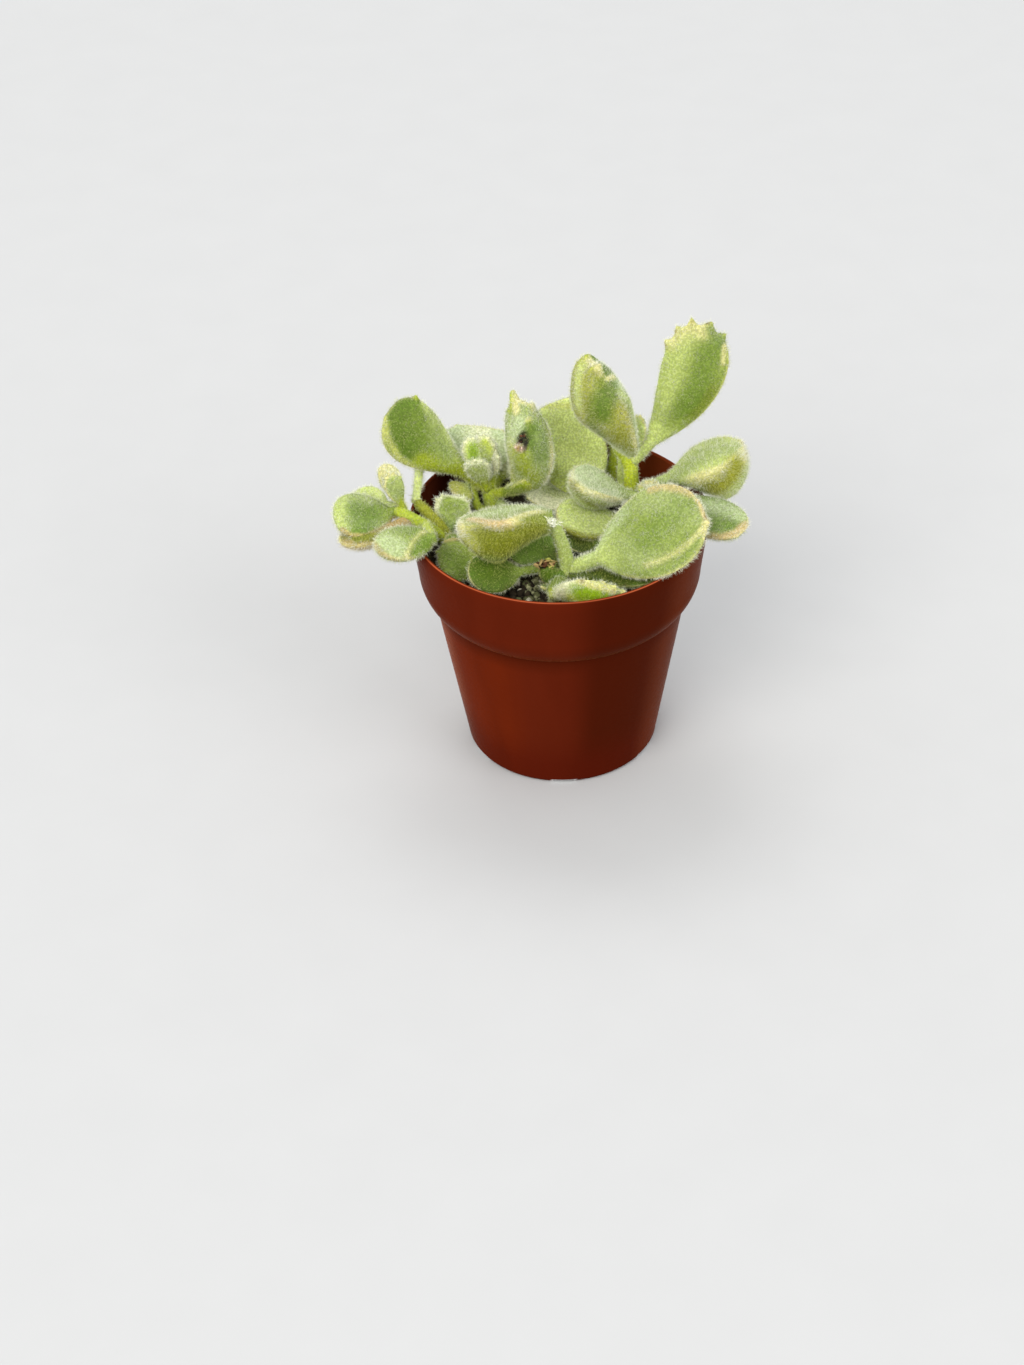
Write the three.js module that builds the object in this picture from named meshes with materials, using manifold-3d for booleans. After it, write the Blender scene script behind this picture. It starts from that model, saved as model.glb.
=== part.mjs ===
// Bear's paw succulent (Cotyledon tomentosa, variegated) in a round plastic nursery pot.
// Millimetres, +Z up. The origin is the centre of the pot's flat underside, and the
// plant's front is the -Y side.

import * as THREE from "three";
import { mergeVertices } from "three/addons/utils/BufferGeometryUtils.js";
import Module from "manifold-3d";

const wasm = await Module();
wasm.setup();

// ---- Driving dimensions ------------------------------------------------------------

const GAP = 0.3; // clearance between neighbouring solids

const POT = {
  height: 59,
  lipRadius: 33, // outer radius at the top
  bandFoot: 40.4, // height of the step under the rim band
  bandTaper: 1.5, // how much narrower the band is at its foot than at the lip
  shoulder: 6.4, // height of the curve that carries the band over the step
  shoulderTurn: 0.9, // how much of an arc that curve is, in radians
  ledge: 0.3, // flat width of the step under the curve
  bodyTopRadius: 28.4, // outer radius just under the step
  baseRadius: 21.9,
  baseEdge: 1.4, // radius of the round at the underside
  wall: 1,
  floor: 2.2,
  sides: 46,
};

const STEP_THICKNESS = 0.8 * POT.wall;

const DRAIN = {
  count: 6,
  holeRadius: 2.4,
  ring: 14.5, // distance of each hole from the axis
  grooveWidth: 5,
  grooveDepth: 0.9,
};

const SOIL = {
  level: 51,
  bump: 0.9, // height of its lumps
  brink: 1, // drop of the surface where it meets the wall
  rings: 6,
  sides: 30,
  crumbs: 18,
  crumbSize: [0.9, 1.9],
  bare: { x: -7, y: -17, radius: 7 }, // the open patch where most crumbs show
};

// ---- The plant ---------------------------------------------------------------------
// Each leafy stem stands in its own hole in the soil. Its canes are paths with radii that
// ease along them. Its leaves are fused to the canes.

// A leaf at least as wide as this has finer facets: more ribs, and more points along each
// rib, at these shares of the way from midrib to margin.
const BROAD_LEAF = 12;
const BROAD_FACETS = { ribs: 7, shares: [0, 0.55, 0.87, 1] };
const NARROW_FACETS = { ribs: 5, shares: [0, 0.66, 1] };

const PETIOLE = { radius: 1.3, share: 0.14 }; // share of the leaf's width, on narrow leaves
const TOOTH_LEAN = 0.35; // how far a tooth leans towards the apex, as a share of its length
const TOOTH_HALF = 0.055; // half the foot of a tooth, as a share of half the outline
const RIB_SLANT = 0.24; // how far back from its margin the rib of the apex starts
const APEX_THINNING = 0.3; // share of the thickness lost at the apex
const CUP_LIMIT = 1.3; // half widths at which the cupping levels off
const CANE_SIDES = 6;
const CANE_DEPTH = 41; // height at which every cane ends inside the soil

const LEAF_TRAITS = {
  thick: 5.4, // greatest thickness
  belly: 0.6, // share of the thickness below the midrib
  arch: 0.06, // rise of both ends above the middle, as a share of the length
  sweep: 0, // sideways bow of the midrib, as a share of the length
  cup: 0.12, // rise of the margins above the midrib, as a share of the half width
  stalk: 0.22, // share of the length that is petiole
  fore: 0.6, // where the blade is widest, from its foot to its apex
  point: 0.5, // 0.5 for a round apex, more for a pointed one
  lopsided: 0, // how much wider the right half is than the mean, as a share of it
  teeth: [[-0.88, 0.25], [1, 0.35], [0.88, 0.25]],
};

const PAW = [[-0.8, 0.35], [-0.55, 0.3], [1, 0.45], [0.8, 0.35], [0.55, 0.3]]; // teeth of a young leaf

// A leaf runs from base to tip, turns its upper face towards face, and is width across.
// Its teeth are pairs of place and length: a place runs from the foot of the blade (0) to
// its apex (1), and is negative on the left margin.
function leaf(base, tip, face, width, traits = {}) {
  return { ...LEAF_TRAITS, base, tip, face, width, ...traits };
}

function cane(radii, ...path) {
  return { path, radii };
}

const STEMS = {
  stem_left: {
    colour: 0x8fae62,
    root: [-22, -3.5],
    holeRadius: 2.6,
    canes: [
      cane(
        [1.6, 1.4, 1.1],
        [-22, -3.5, CANE_DEPTH],
        [-22.3, -3.6, 50],
        [-25.4, -2.6, 57],
        [-28.4, -0.5, 60],
        [-31.5, 2.6, 61.6],
      ),
      cane([1.5, 1.3, 1.2], [-25, -3.4, 55.2], [-29, -4.4, 59.6], [-32.5, -4.6, 62.4], [-35.8, -2.4, 63]),
      cane([1.1, 1.1], [-29, -4.4, 59.8], [-28.6, -9, 61.9], [-27.2, -13, 62.6]),
    ],
    leaves: {
      leftmost: leaf([-35.2, -2.4, 62.5], [-48.8, -6, 63.6], [0, -0.25, 1], 13, {
        stalk: 0.1,
        point: 0.42,
        teeth: [],
      }),
      under_leftmost: leaf([-32.5, -4.6, 61.9], [-47.3, -12, 61.3], [0, 0.2, 1], 10, {
        thick: 3.5,
        teeth: [],
      }),
      over_rim: leaf([-26.6, -13, 62.6], [-39.6, -16.6, 63.5], [0, -0.32, 1], 9, {
        stalk: 0.05,
        fore: 0.5,
        teeth: [],
      }),
      folded: leaf([-33.7, -2.2, 62.7], [-38.2, 3, 71.2], [0.6, -0.7, 0.2], 5.4, {
        thick: 2.6,
        cup: 0.4,
        teeth: [],
      }),
      folded_front: leaf([-33.4, -3.2, 62.6], [-36.6, -1.6, 71.6], [0.5, -0.8, 0.3], 4.4, {
        thick: 2.6,
        cup: 0.3,
        teeth: PAW,
      }),
      behind_folded: leaf([-35.5, -1.5, 62.8], [-45, 4, 63.5], [0, 0, 1], 8, { thick: 3, teeth: [] }),
      leaning_back: leaf([-31.5, 2.8, 61.5], [-30.4, 22.5, 67], [0, -0.3, 0.9], 8, {
        stalk: 0.5,
        neck: 0.9,
      }),
      inside_rim: leaf([-24.5, -3, 55.2], [-23, 4, 62], [0, -0.8, 0.6], 8, {
        thick: 3.5,
        point: 0.32,
        teeth: [[-0.8, 0.5], [-0.6, 0.5], [0.65, 0.4], [0.85, 0.5]],
      }),
    },
  },
  stem_mid_left: {
    colour: 0x9dbb6c,
    root: [-14, 12],
    holeRadius: 3.2,
    canes: [
      cane([2.4, 2.2, 1.8], [-14, 12, CANE_DEPTH], [-14.2, 12, 50], [-15.5, 12, 59]),
      cane([1, 1, 0.9], [-14.4, 11.8, 52], [-18.2, 10.8, 54.4], [-19.4, 14.4, 59]),
    ],
    leaves: {
      paddle: leaf([-15.5, 12, 58.5], [-34.9, 11, 82], [0.1, -0.8, 0.5], 13.5, {
        sweep: -0.035,
        stalk: 0.14,
        fore: 0.71,
        lopsided: -0.28,
        neck: 1.6,
        teeth: [[-0.85, 0.2], [0.7, 0.8]],
      }),
      scarred: leaf([-10.5, 12, 57.5], [-9.8, 15, 80.6], [0.5, 0.7, 0.2], 11.4, {
        thick: 7.6,
        sweep: -0.22,
        stalk: 0.08,
        fore: 0.5,
        lopsided: -0.15,
        teeth: [[-0.72, 0.7], [1, 2.3]],
      }),
      under_scarred: leaf([-14, 11, 57.5], [-3, 10, 63.6], [0, 0.5, 0.8], 7, { thick: 3.5, sweep: 0.1 }),
      scalloped: leaf([-19.2, 14.6, 58.8], [-17.4, 24, 67.2], [0, -0.7, 0.7], 16.5, {
        stalk: 0.15,
        point: 0.36,
        teeth: [[-0.8, 0.5], [-0.6, 0.5], [0.6, 0.6], [0.8, 0.5]],
      }),
      tucked: leaf([-19.3, 14.4, 58.4], [-23.2, 11, 57.4], [0, -0.3, 1], 7, { thick: 3, teeth: [] }),
      back_low: leaf([-15, 13, 56.5], [-12, 28.8, 61.8], [0, -0.3, 0.9], 10.5, { thick: 4 }),
      back_left: leaf([-16, 13, 58.2], [-24.5, 25, 64.4], [0, -0.2, 1], 10, { thick: 4 }),
      behind_boat: leaf([-13.6, 11.4, 55], [-5, -2, 56.6], [0, -0.2, 1], 9, { thick: 3.5 }),
      bud_upper: leaf([-16, 11.2, 59], [-19.6, 10.6, 72.4], [0.1, -0.8, 0.5], 4.6, {
        thick: 2.6,
        teeth: PAW,
      }),
      bud_middle: leaf([-15.4, 11.4, 59], [-16.2, 10.8, 73], [-0.2, -0.9, 0.3], 4.6, {
        thick: 2.6,
        teeth: PAW,
      }),
      bud_right: leaf([-15, 11.4, 59], [-14.4, 11.2, 69.6], [-0.6, -0.7, 0.3], 3.8, {
        thick: 2.2,
        teeth: PAW,
      }),
      bud_lower: leaf([-16, 11, 58.5], [-18.4, 7.4, 68.6], [-0.1, -0.9, 0.3], 5.4, {
        thick: 2.6,
        point: 0.36,
        teeth: PAW,
      }),
    },
  },
  stem_front: {
    colour: 0xa3b860,
    root: [0, -16],
    holeRadius: 3.4,
    canes: [
      cane([2.6, 2.6, 2.3], [0, -16, CANE_DEPTH], [0, -16, 51], [-1.2, -14.6, 55]),
      cane([1.8, 1.5, 1.4], [0.3, -15, 52.5], [1.5, -14.6, 56], [0.4, -14.2, 62], [-1.7, -14.2, 67.4]),
      cane([1.7, 1.4], [0, -16.6, 53], [-0.8, -20, 54.4], [-1.6, -23.6, 55]),
      cane([1.9, 2, 1.7], [-1.4, -15.8, 53.2], [-2.4, -15.9, 55], [-2.9, -16, 57.4]),
    ],
    leaves: {
      boat: leaf([-1.6, -14.2, 67.2], [-21.6, -16, 68], [0, 0.33, 0.94], 13.6, {
        thick: 11,
        belly: 0.8,
        arch: 0,
        cup: 0.25,
        stalk: 0.02,
        fore: 0.37,
        point: 0.4,
        neck: 2.6,
        teeth: [],
      }),
      broad: leaf([1.8, -14.6, 54.7], [30.6, -18.4, 71.3], [0.1, -0.56, 0.82], 19.8, {
        arch: 0.01,
        point: 0.45,
        neck: 1.7,
        teeth: [[0.93, 0.7]],
      }),
      under_broad: leaf([2, -15.5, 54.2], [24, -17, 56.5], [0, 0, 1], 10, { thick: 3.5 }),
      low_left: leaf([-2.4, -14.2, 55.6], [-19.6, -19.3, 57], [0, -0.4, 0.9], 9.8, {
        thick: 4,
        stalk: 0.34,
        neck: 1,
        teeth: [],
      }),
      shaded: leaf([0.6, -13.8, 54.5], [-9, -7, 60.4], [0, -0.5, 0.85], 12, { thick: 3.5 }),
      behind_lip: leaf([-2.2, -23.9, 55.2], [14, -25.7, 56], [0, 0.72, 0.69], 12.4, {
        thick: 5,
        belly: 0.7,
        arch: 0,
        cup: 0.3,
        stalk: 0.05,
        fore: 0.45,
        teeth: [[0.5, 0.5], [0.66, 0.6], [0.84, 0.6]],
      }),
      sprout: leaf([-1.4, -17.8, 52.8], [-3.6, -20.4, 54.2], [0, 0, 1], 2.6, { thick: 1.6 }),
    },
  },
  stem_front_left: {
    colour: 0x7c9c4c,
    root: [-13, -7],
    holeRadius: 2.2,
    canes: [cane([1.6, 1.5, 1.4], [-13, -7, CANE_DEPTH], [-13, -7, 50], [-13.5, -7.5, 54.5])],
    leaves: {
      along_rim: leaf([-13.6, -8.2, 55.2], [-26.4, -12, 55.1], [0, -0.55, 0.75], 10, {
        thick: 4,
        teeth: [[0.8, 0.6]],
      }),
      behind_along_rim: leaf([-13.6, -7.2, 53.8], [-25.2, -6, 57.4], [0, -0.3, 1], 5.2, {
        thick: 2.6,
        teeth: [],
      }),
    },
  },
  stem_right: {
    colour: 0x9ab56c,
    root: [17, 3],
    holeRadius: 2.8,
    canes: [cane([2.2, 2, 1.6], [17, 3, CANE_DEPTH], [17, 3, 50], [18.5, 5, 55], [20, 7.5, 59.8])],
    leaves: {
      outer_upper: leaf([20, 8, 60.6], [41.2, 10, 68.8], [0, 0.2, 1], 17.4, {
        thick: 13,
        belly: 0.72,
        arch: 0,
        point: 0.4,
        teeth: [[-0.86, 0.4]],
      }),
      outer_lower: leaf([19.6, 6.4, 59.2], [39.4, -14.4, 63.7], [0, -0.3, 0.9], 11, {
        thick: 4.8,
        arch: -0.02,
        point: 0.4,
        teeth: [[0.9, 0.3]],
      }),
      inner_upper: leaf([19.6, 7, 58.6], [2.8, 4, 65.8], [0.05, 0.04, 1], 12.4, {
        thick: 6.5,
        belly: 0.75,
        cup: 0.35,
        teeth: [],
      }),
      inner_lower: leaf([18, 4, 54.8], [-0.5, 0, 58.6], [0, -0.25, 1], 12, { thick: 4.5, teeth: [] }),
      inner_shaded: leaf([17, 3, 54], [1, -5, 55], [0, -0.2, 1], 9, { thick: 3 }),
      tiny_left: leaf([19.8, 7.4, 59], [18.6, 6.8, 62.2], [0.2, -0.8, 0.4], 3, { thick: 2, teeth: PAW }),
      tiny_middle: leaf([20, 7.4, 59], [20.1, 6.4, 63], [0, -0.8, 0.4], 3, { thick: 2, teeth: PAW }),
      tiny_right: leaf([20.2, 7.6, 59], [21.6, 6.6, 62.6], [-0.2, -0.8, 0.3], 3, {
        thick: 2,
        teeth: PAW,
      }),
    },
  },
  stem_centre_right: {
    colour: 0x8eaa58,
    root: [16.5, 14.5],
    holeRadius: 2.4,
    canes: [
      cane([1.9, 1.8, 1.6], [16.5, 14.5, CANE_DEPTH], [16.5, 14.5, 52], [16.2, 15, 64]),
      cane([1.5, 1.5, 1.4], [16.3, 15, 61], [15.3, 15, 64], [13.2, 15, 67]),
      cane([1.3, 1.3, 1.2], [16, 14.5, 53.4], [12, 14.6, 54], [8.2, 15.2, 55.4]),
      cane([0.9, 0.8, 0.8], [15.4, 15.6, 53], [14.1, 17.2, 56.5], [14.3, 17, 61], [14.4, 16, 65]),
    ],
    leaves: {
      spoon: leaf([13.9, 15, 66.8], [5.9, 17, 89.8], [0.83, 0.5, 0.23], 17.2, {
        thick: 12,
        belly: 0.55,
        sweep: -0.15,
        cup: 0.02,
        stalk: 0.02,
        fore: 0.42,
        point: 0.72,
        lopsided: -0.2,
        teeth: [[-0.86, 0.8], [-0.68, 1.2]],
      }),
      crown: leaf([16.6, 15, 63], [31.8, 22.2, 93.3], [-0.15, -0.9, 0.3], 14.4, {
        thick: 6,
        sweep: 0.085,
        stalk: 0.12,
        fore: 0.7,
        point: 0.4,
        lopsided: 0.08,
        neck: 1.5,
        teeth: [[-0.58, 1.2], [-0.74, 1], [-0.9, 1.3], [0.965, 1.3], [0.82, 1]],
      }),
      between: leaf([16.6, 15.6, 62.5], [18.3, 17.5, 73], [-0.8, -0.6, 0.2], 4.6, {
        thick: 2.4,
        teeth: PAW,
      }),
      fan: leaf([8.2, 15.2, 54.6], [-0.4, 21.7, 74.6], [0.2, -0.75, 0.6], 17, {
        sweep: -0.04,
        stalk: 0.06,
        fore: 0.55,
        point: 0.3,
        teeth: [],
      }),
      flat: leaf([16, 14.5, 53.6], [-7.5, 13.6, 56.4], [0, -0.1, 1], 11, { thick: 4 }),
    },
  },
  stem_back: {
    colour: 0x86a452,
    root: [12, 21.5],
    holeRadius: 1.9,
    canes: [cane([1.3, 1.2, 1], [12, 21.5, CANE_DEPTH], [12, 21.8, 51], [13.2, 23, 64])],
    leaves: {
      over_back_rim: leaf([13, 23, 62], [11, 35, 67], [0, -0.4, 0.9], 10, { thick: 4.5 }),
      inside_back_rim: leaf([12, 22.5, 55], [2, 29.2, 62], [0, -0.3, 0.9], 9, { thick: 4 }),
    },
  },
};

// ---- Solids ------------------------------------------------------------------------

function solidFrom(geometry) {
  const bare = geometry.clone();
  bare.deleteAttribute("normal");
  bare.deleteAttribute("uv");
  const welded = mergeVertices(bare, 1e-4);
  return new wasm.Manifold(
    new wasm.Mesh({
      numProp: 3,
      vertProperties: new Float32Array(welded.attributes.position.array),
      triVerts: new Uint32Array(welded.index.array),
    }),
  );
}

function geometryFrom(solid) {
  const mesh = solid.getMesh();
  const geometry = new THREE.BufferGeometry();
  geometry.setAttribute("position", new THREE.BufferAttribute(mesh.vertProperties, 3));
  geometry.setIndex(new THREE.BufferAttribute(mesh.triVerts, 1));
  return geometry;
}

// One body from solids that run into each other. Only its outer shell is kept, so that a
// hollow sealed in among them is filled.
function fuse(solids) {
  const whole = solids.reduce((sum, solid) => sum.add(solid));
  return whole.decompose().reduce((best, shell) => (shell.volume() > best.volume() ? shell : best));
}

const vec = (p) => new THREE.Vector3(...p);

function indexed(points, faces) {
  const geometry = new THREE.BufferGeometry();
  const flat = points.flatMap((p) => [p.x, p.y, p.z]);
  geometry.setAttribute("position", new THREE.Float32BufferAttribute(flat, 3));
  geometry.setIndex(faces.flat());
  return geometry;
}

function signedVolume(points, faces) {
  return faces.reduce((sum, [a, b, c]) => {
    const cross = new THREE.Vector3().crossVectors(points[b], points[c]);
    return sum + points[a].dot(cross) / 6;
  }, 0);
}

function outward(points, faces) {
  if (signedVolume(points, faces) < 0) {
    faces.forEach((face) => face.reverse());
  }
  return indexed(points, faces);
}

// A round cane along a smooth path, with its radius eased from one value to the next.
function caneGeometry({ path, radii }) {
  const sides = CANE_SIDES;
  const curve = new THREE.CatmullRomCurve3(path.map(vec));
  const steps = 3 * (path.length - 1);
  const frames = curve.computeFrenetFrames(steps);
  const points = [];
  const faces = [];
  for (let i = 0; i <= steps; i++) {
    const t = i / steps;
    const along = t * (radii.length - 1);
    const k = Math.min(Math.floor(along), radii.length - 2);
    const radius = THREE.MathUtils.lerp(radii[k], radii[k + 1], along - k);
    const centre = curve.getPointAt(t);
    for (let j = 0; j < sides; j++) {
      const angle = (2 * Math.PI * j) / sides;
      points.push(
        centre
          .clone()
          .addScaledVector(frames.normals[i], radius * Math.cos(angle))
          .addScaledVector(frames.binormals[i], radius * Math.sin(angle)),
      );
    }
  }
  for (let i = 0; i < steps; i++) {
    for (let j = 0; j < sides; j++) {
      const a = i * sides + j;
      const b = i * sides + ((j + 1) % sides);
      faces.push([a, b, b + sides], [a, b + sides, a + sides]);
    }
  }
  for (let j = 1; j < sides - 1; j++) {
    const last = steps * sides;
    faces.push([0, j + 1, j], [last, last + j, last + j + 1]);
  }
  return outward(points, faces);
}

const facetsOf = (width) => (width < BROAD_LEAF ? NARROW_FACETS : BROAD_FACETS);

// The places along half an outline, from the foot of the blade (0) to its apex (1), where
// ribs run out to the margin: an even spread, and the top and both feet of each tooth.
function ribPlaces({ width, teeth }) {
  const { ribs } = facetsOf(width);
  const tops = teeth.map(([place]) => Math.abs(place));
  const isAwayBy = (share) => (tau) => tops.every((top) => Math.abs(tau - top) > share * TOOTH_HALF);
  const spread = Array.from({ length: ribs + 1 }, (_, i) => i / ribs);
  const feet = tops.flatMap((top) => [top - TOOTH_HALF, top + TOOTH_HALF]);
  const between = [...spread.filter(isAwayBy(1.4)), ...feet.filter(isAwayBy(0.6))];
  const places = [...between.filter((tau) => tau < 1), ...tops, 0, 1];
  return [...new Set(places.map((tau) => Number(tau.toFixed(3))))].sort((a, b) => a - b);
}

// The length of the tooth that stands at a place on one margin, or 0 where there is none.
function toothAt(teeth, tau, side) {
  const onSide = teeth.filter(([place]) => Math.abs(place) === 1 || Math.sign(place) === side);
  return Math.max(
    0,
    ...onSide.map(([place, size]) => size * (1 - Math.abs(tau - Math.abs(place)) / TOOTH_HALF)),
  );
}

const smooth = (x) => THREE.MathUtils.smoothstep(x, 0, 1);

// A thick spoon-shaped leaf: a petiole that widens into a blade with a toothed apex.
function leafGeometry(leaf) {
  const stalkRadius = leaf.neck ?? Math.min(PETIOLE.radius, PETIOLE.share * leaf.width);
  const base = vec(leaf.base);
  const chord = vec(leaf.tip).sub(base);
  const length = chord.length();
  const along = chord.clone().normalize();
  const up = vec(leaf.face);
  up.addScaledVector(along, -up.dot(along)).normalize();
  const across = new THREE.Vector3().crossVectors(along, up);
  const half = leaf.width / 2;
  const lift = leaf.arch * length;
  const bow = leaf.sweep * length;

  const rise = (leaf.point * leaf.fore) / (1 - leaf.fore);
  const peak = leaf.fore ** rise * (1 - leaf.fore) ** leaf.point;
  const spread = (xi) => (xi ** rise * (1 - xi) ** leaf.point) / peak;
  const sides = [1, -1];

  const ribs = [0, 0.5].map((k) => ({
    reach: leaf.stalk * k,
    foot: leaf.stalk * k,
    wides: [stalkRadius, stalkRadius],
    xi: 0,
    teeth: [0, 0],
  }));
  for (const tau of ribPlaces(leaf)) {
    const xi = Math.sin((Math.PI * tau) / 2);
    const stalkPart = stalkRadius * Math.sqrt(1 - xi) * (1 - APEX_THINNING * xi);
    const wideOn = (side) =>
      Math.cbrt((half * (1 + side * leaf.lopsided) * spread(xi)) ** 3 + stalkPart ** 3);
    ribs.push({
      reach: leaf.stalk + (1 - leaf.stalk) * xi,
      foot: leaf.stalk + (1 - leaf.stalk) * xi * (1 - RIB_SLANT * xi ** 3),
      wides: sides.map((side) => (tau < 1 ? wideOn(side) : 0)),
      xi,
      teeth: sides.map((side) => toothAt(leaf.teeth, tau, side)),
    });
  }

  const { shares } = facetsOf(leaf.width);
  const last = shares.length - 1;
  const points = [];
  const add = (point) => points.push(point) - 1;

  // Each rib holds, for either side of the midrib, one row of points on the upper
  // face and one on the lower face. The rows meet at the margin.
  const rows = ribs.map((rib, i) => {
    const s = rib.foot;
    const middle = base
      .clone()
      .addScaledVector(along, s * length)
      .addScaledVector(up, -4 * s * (1 - s) * lift)
      .addScaledVector(across, 4 * s * (1 - s) * bow);
    const forward = along
      .clone()
      .multiplyScalar(length)
      .addScaledVector(up, -4 * (1 - 2 * s) * lift)
      .addScaledVector(across, 4 * (1 - 2 * s) * bow)
      .normalize();
    const sideways = new THREE.Vector3().crossVectors(forward, up).normalize();
    const normal = new THREE.Vector3().crossVectors(sideways, forward);
    const eased = smooth(rib.xi * 1.6);
    const thinning = 1 - APEX_THINNING * rib.xi ** 4;
    const thickHere = thinning * THREE.MathUtils.lerp(2 * stalkRadius, leaf.thick, eased);
    const below = THREE.MathUtils.lerp(0.5, leaf.belly, eased);
    const upper = add(middle.clone().addScaledVector(normal, thickHere * (1 - below)));
    const lower = add(middle.clone().addScaledVector(normal, -thickHere * below));
    const isTip = i === ribs.length - 1;
    const sideRows = (isTip ? [1] : sides).map((side, k) => {
      const run = new THREE.Vector2((rib.reach - rib.foot) * length, rib.wides[k] * side);
      const direction = run.clone().normalize();
      const top = [upper];
      const bottom = [lower];
      for (let j = 1; j <= last; j++) {
        const v = shares[j];
        const spike = j === last ? rib.teeth[k] : 0;
        const x = run.x * v + spike * (direction.x + (isTip ? 0 : TOOTH_LEAN));
        const y = run.y * v + spike * direction.y;
        const cupHere = leaf.cup * half * Math.min(CUP_LIMIT, Math.abs(y) / half) ** 2;
        const place = middle
          .clone()
          .addScaledVector(forward, x)
          .addScaledVector(sideways, y)
          .addScaledVector(normal, cupHere);
        if (j === last) {
          const edge = add(place);
          top.push(edge);
          bottom.push(edge);
        } else {
          const height = thickHere * Math.sqrt(1 - v * v);
          top.push(add(place.clone().addScaledVector(normal, height * (1 - below))));
          bottom.push(add(place.clone().addScaledVector(normal, -height * below)));
        }
      }
      return { top, bottom };
    });
    return isTip ? [sideRows[0], sideRows[0]] : sideRows;
  });

  const faces = [];
  for (let i = 0; i < rows.length - 1; i++) {
    for (const side of [0, 1]) {
      for (const level of ["top", "bottom"]) {
        const near = rows[i][side][level];
        const far = rows[i + 1][side][level];
        const flip = (side === 0) !== (level === "top");
        for (let j = 0; j < last; j++) {
          const quad = [near[j], near[j + 1], far[j + 1], far[j]];
          const [a, b, c, d] = flip ? quad.reverse() : quad;
          faces.push([a, b, c], [a, c, d]);
        }
      }
    }
  }
  const [right, left] = rows[0];
  const rim = [
    ...right.top,
    ...right.bottom.slice(0, -1).reverse(),
    ...left.bottom.slice(1),
    ...left.top.slice(1, -1).reverse(),
  ];
  for (let k = 1; k < rim.length - 1; k++) {
    faces.push([rim[0], rim[k + 1], rim[k]]);
  }
  return outward(points, faces);
}

// ---- Pot and soil ------------------------------------------------------------------

// Points of a quarter round about (centreRadius, centreHeight), from below it to beside it.
function quarterRound(centreRadius, centreHeight, alongRadius, alongHeight, steps) {
  return Array.from({ length: steps + 1 }, (_, i) => {
    const angle = (Math.PI / 2) * (i / steps - 1);
    return [centreRadius + alongRadius * Math.cos(angle), centreHeight + alongHeight * Math.sin(angle)];
  });
}

// Half an outline of the pot as radius and height, from its base up to the lip. The band
// of the inner outline starts a little higher, which keeps the step as thick as the wall.
function potOutline(inset) {
  const isOuter = inset === 0;
  const base = isOuter
    ? quarterRound(POT.baseRadius - POT.baseEdge, POT.baseEdge, POT.baseEdge, POT.baseEdge, 3)
    : [[POT.baseRadius - inset, POT.floor]];
  const foot = POT.bandFoot + (isOuter ? 0 : STEP_THICKNESS);
  const body = POT.bodyTopRadius - inset;
  const out = POT.lipRadius - POT.bandTaper - POT.bodyTopRadius - POT.ledge;
  const curve = [0, 1, 2, 3, 4].map((i) => {
    const turn = POT.shoulderTurn * (1 - i / 4);
    const share = (Math.cos(turn) - Math.cos(POT.shoulderTurn)) / (1 - Math.cos(POT.shoulderTurn));
    const rise = 1 - Math.sin(turn) / Math.sin(POT.shoulderTurn);
    return [body + POT.ledge + out * share, foot + POT.shoulder * rise];
  });
  return [...base, [body, foot], ...curve, [POT.lipRadius - inset, POT.height]];
}

function latheFrom(outline, sides) {
  return new THREE.LatheGeometry(
    outline.map(([r, z]) => new THREE.Vector2(r, z)),
    sides,
  ).rotateX(Math.PI / 2);
}

function potSolid() {
  const inside = potOutline(POT.wall).reverse();
  const profile = [[0, 0], ...potOutline(0), ...inside, [0, POT.floor]];
  let pot = solidFrom(latheFrom(profile, POT.sides));
  for (let i = 0; i < DRAIN.count; i++) {
    const turn = (2 * Math.PI * (i + 0.5)) / DRAIN.count;
    const { holeRadius } = DRAIN;
    const hole = new THREE.CylinderGeometry(holeRadius, holeRadius, 3 * POT.floor, 16);
    hole.rotateX(Math.PI / 2).translate(DRAIN.ring, 0, 0).rotateZ(turn);
    const groove = new THREE.BoxGeometry(POT.baseRadius, DRAIN.grooveWidth, 2 * DRAIN.grooveDepth);
    groove.translate(DRAIN.ring + POT.baseRadius / 2, 0, 0).rotateZ(turn);
    pot = pot.subtract(solidFrom(hole)).subtract(solidFrom(groove));
  }
  return pot;
}

// A small seeded generator, so every draw comes out the same.
function seeded(seed) {
  let state = seed;
  return () => {
    state = (state * 1664525 + 1013904223) % 4294967296;
    return state / 4294967296;
  };
}

function soilHeight(x, y) {
  const roll = Math.sin(0.31 * x + 1.3) * Math.cos(0.27 * y - 0.6);
  const grain = Math.sin(1.1 * x + 0.4 * y) * Math.sin(0.9 * y - 0.5 * x + 2);
  return SOIL.level + SOIL.bump * (0.55 * roll + 0.45 * grain);
}

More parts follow.
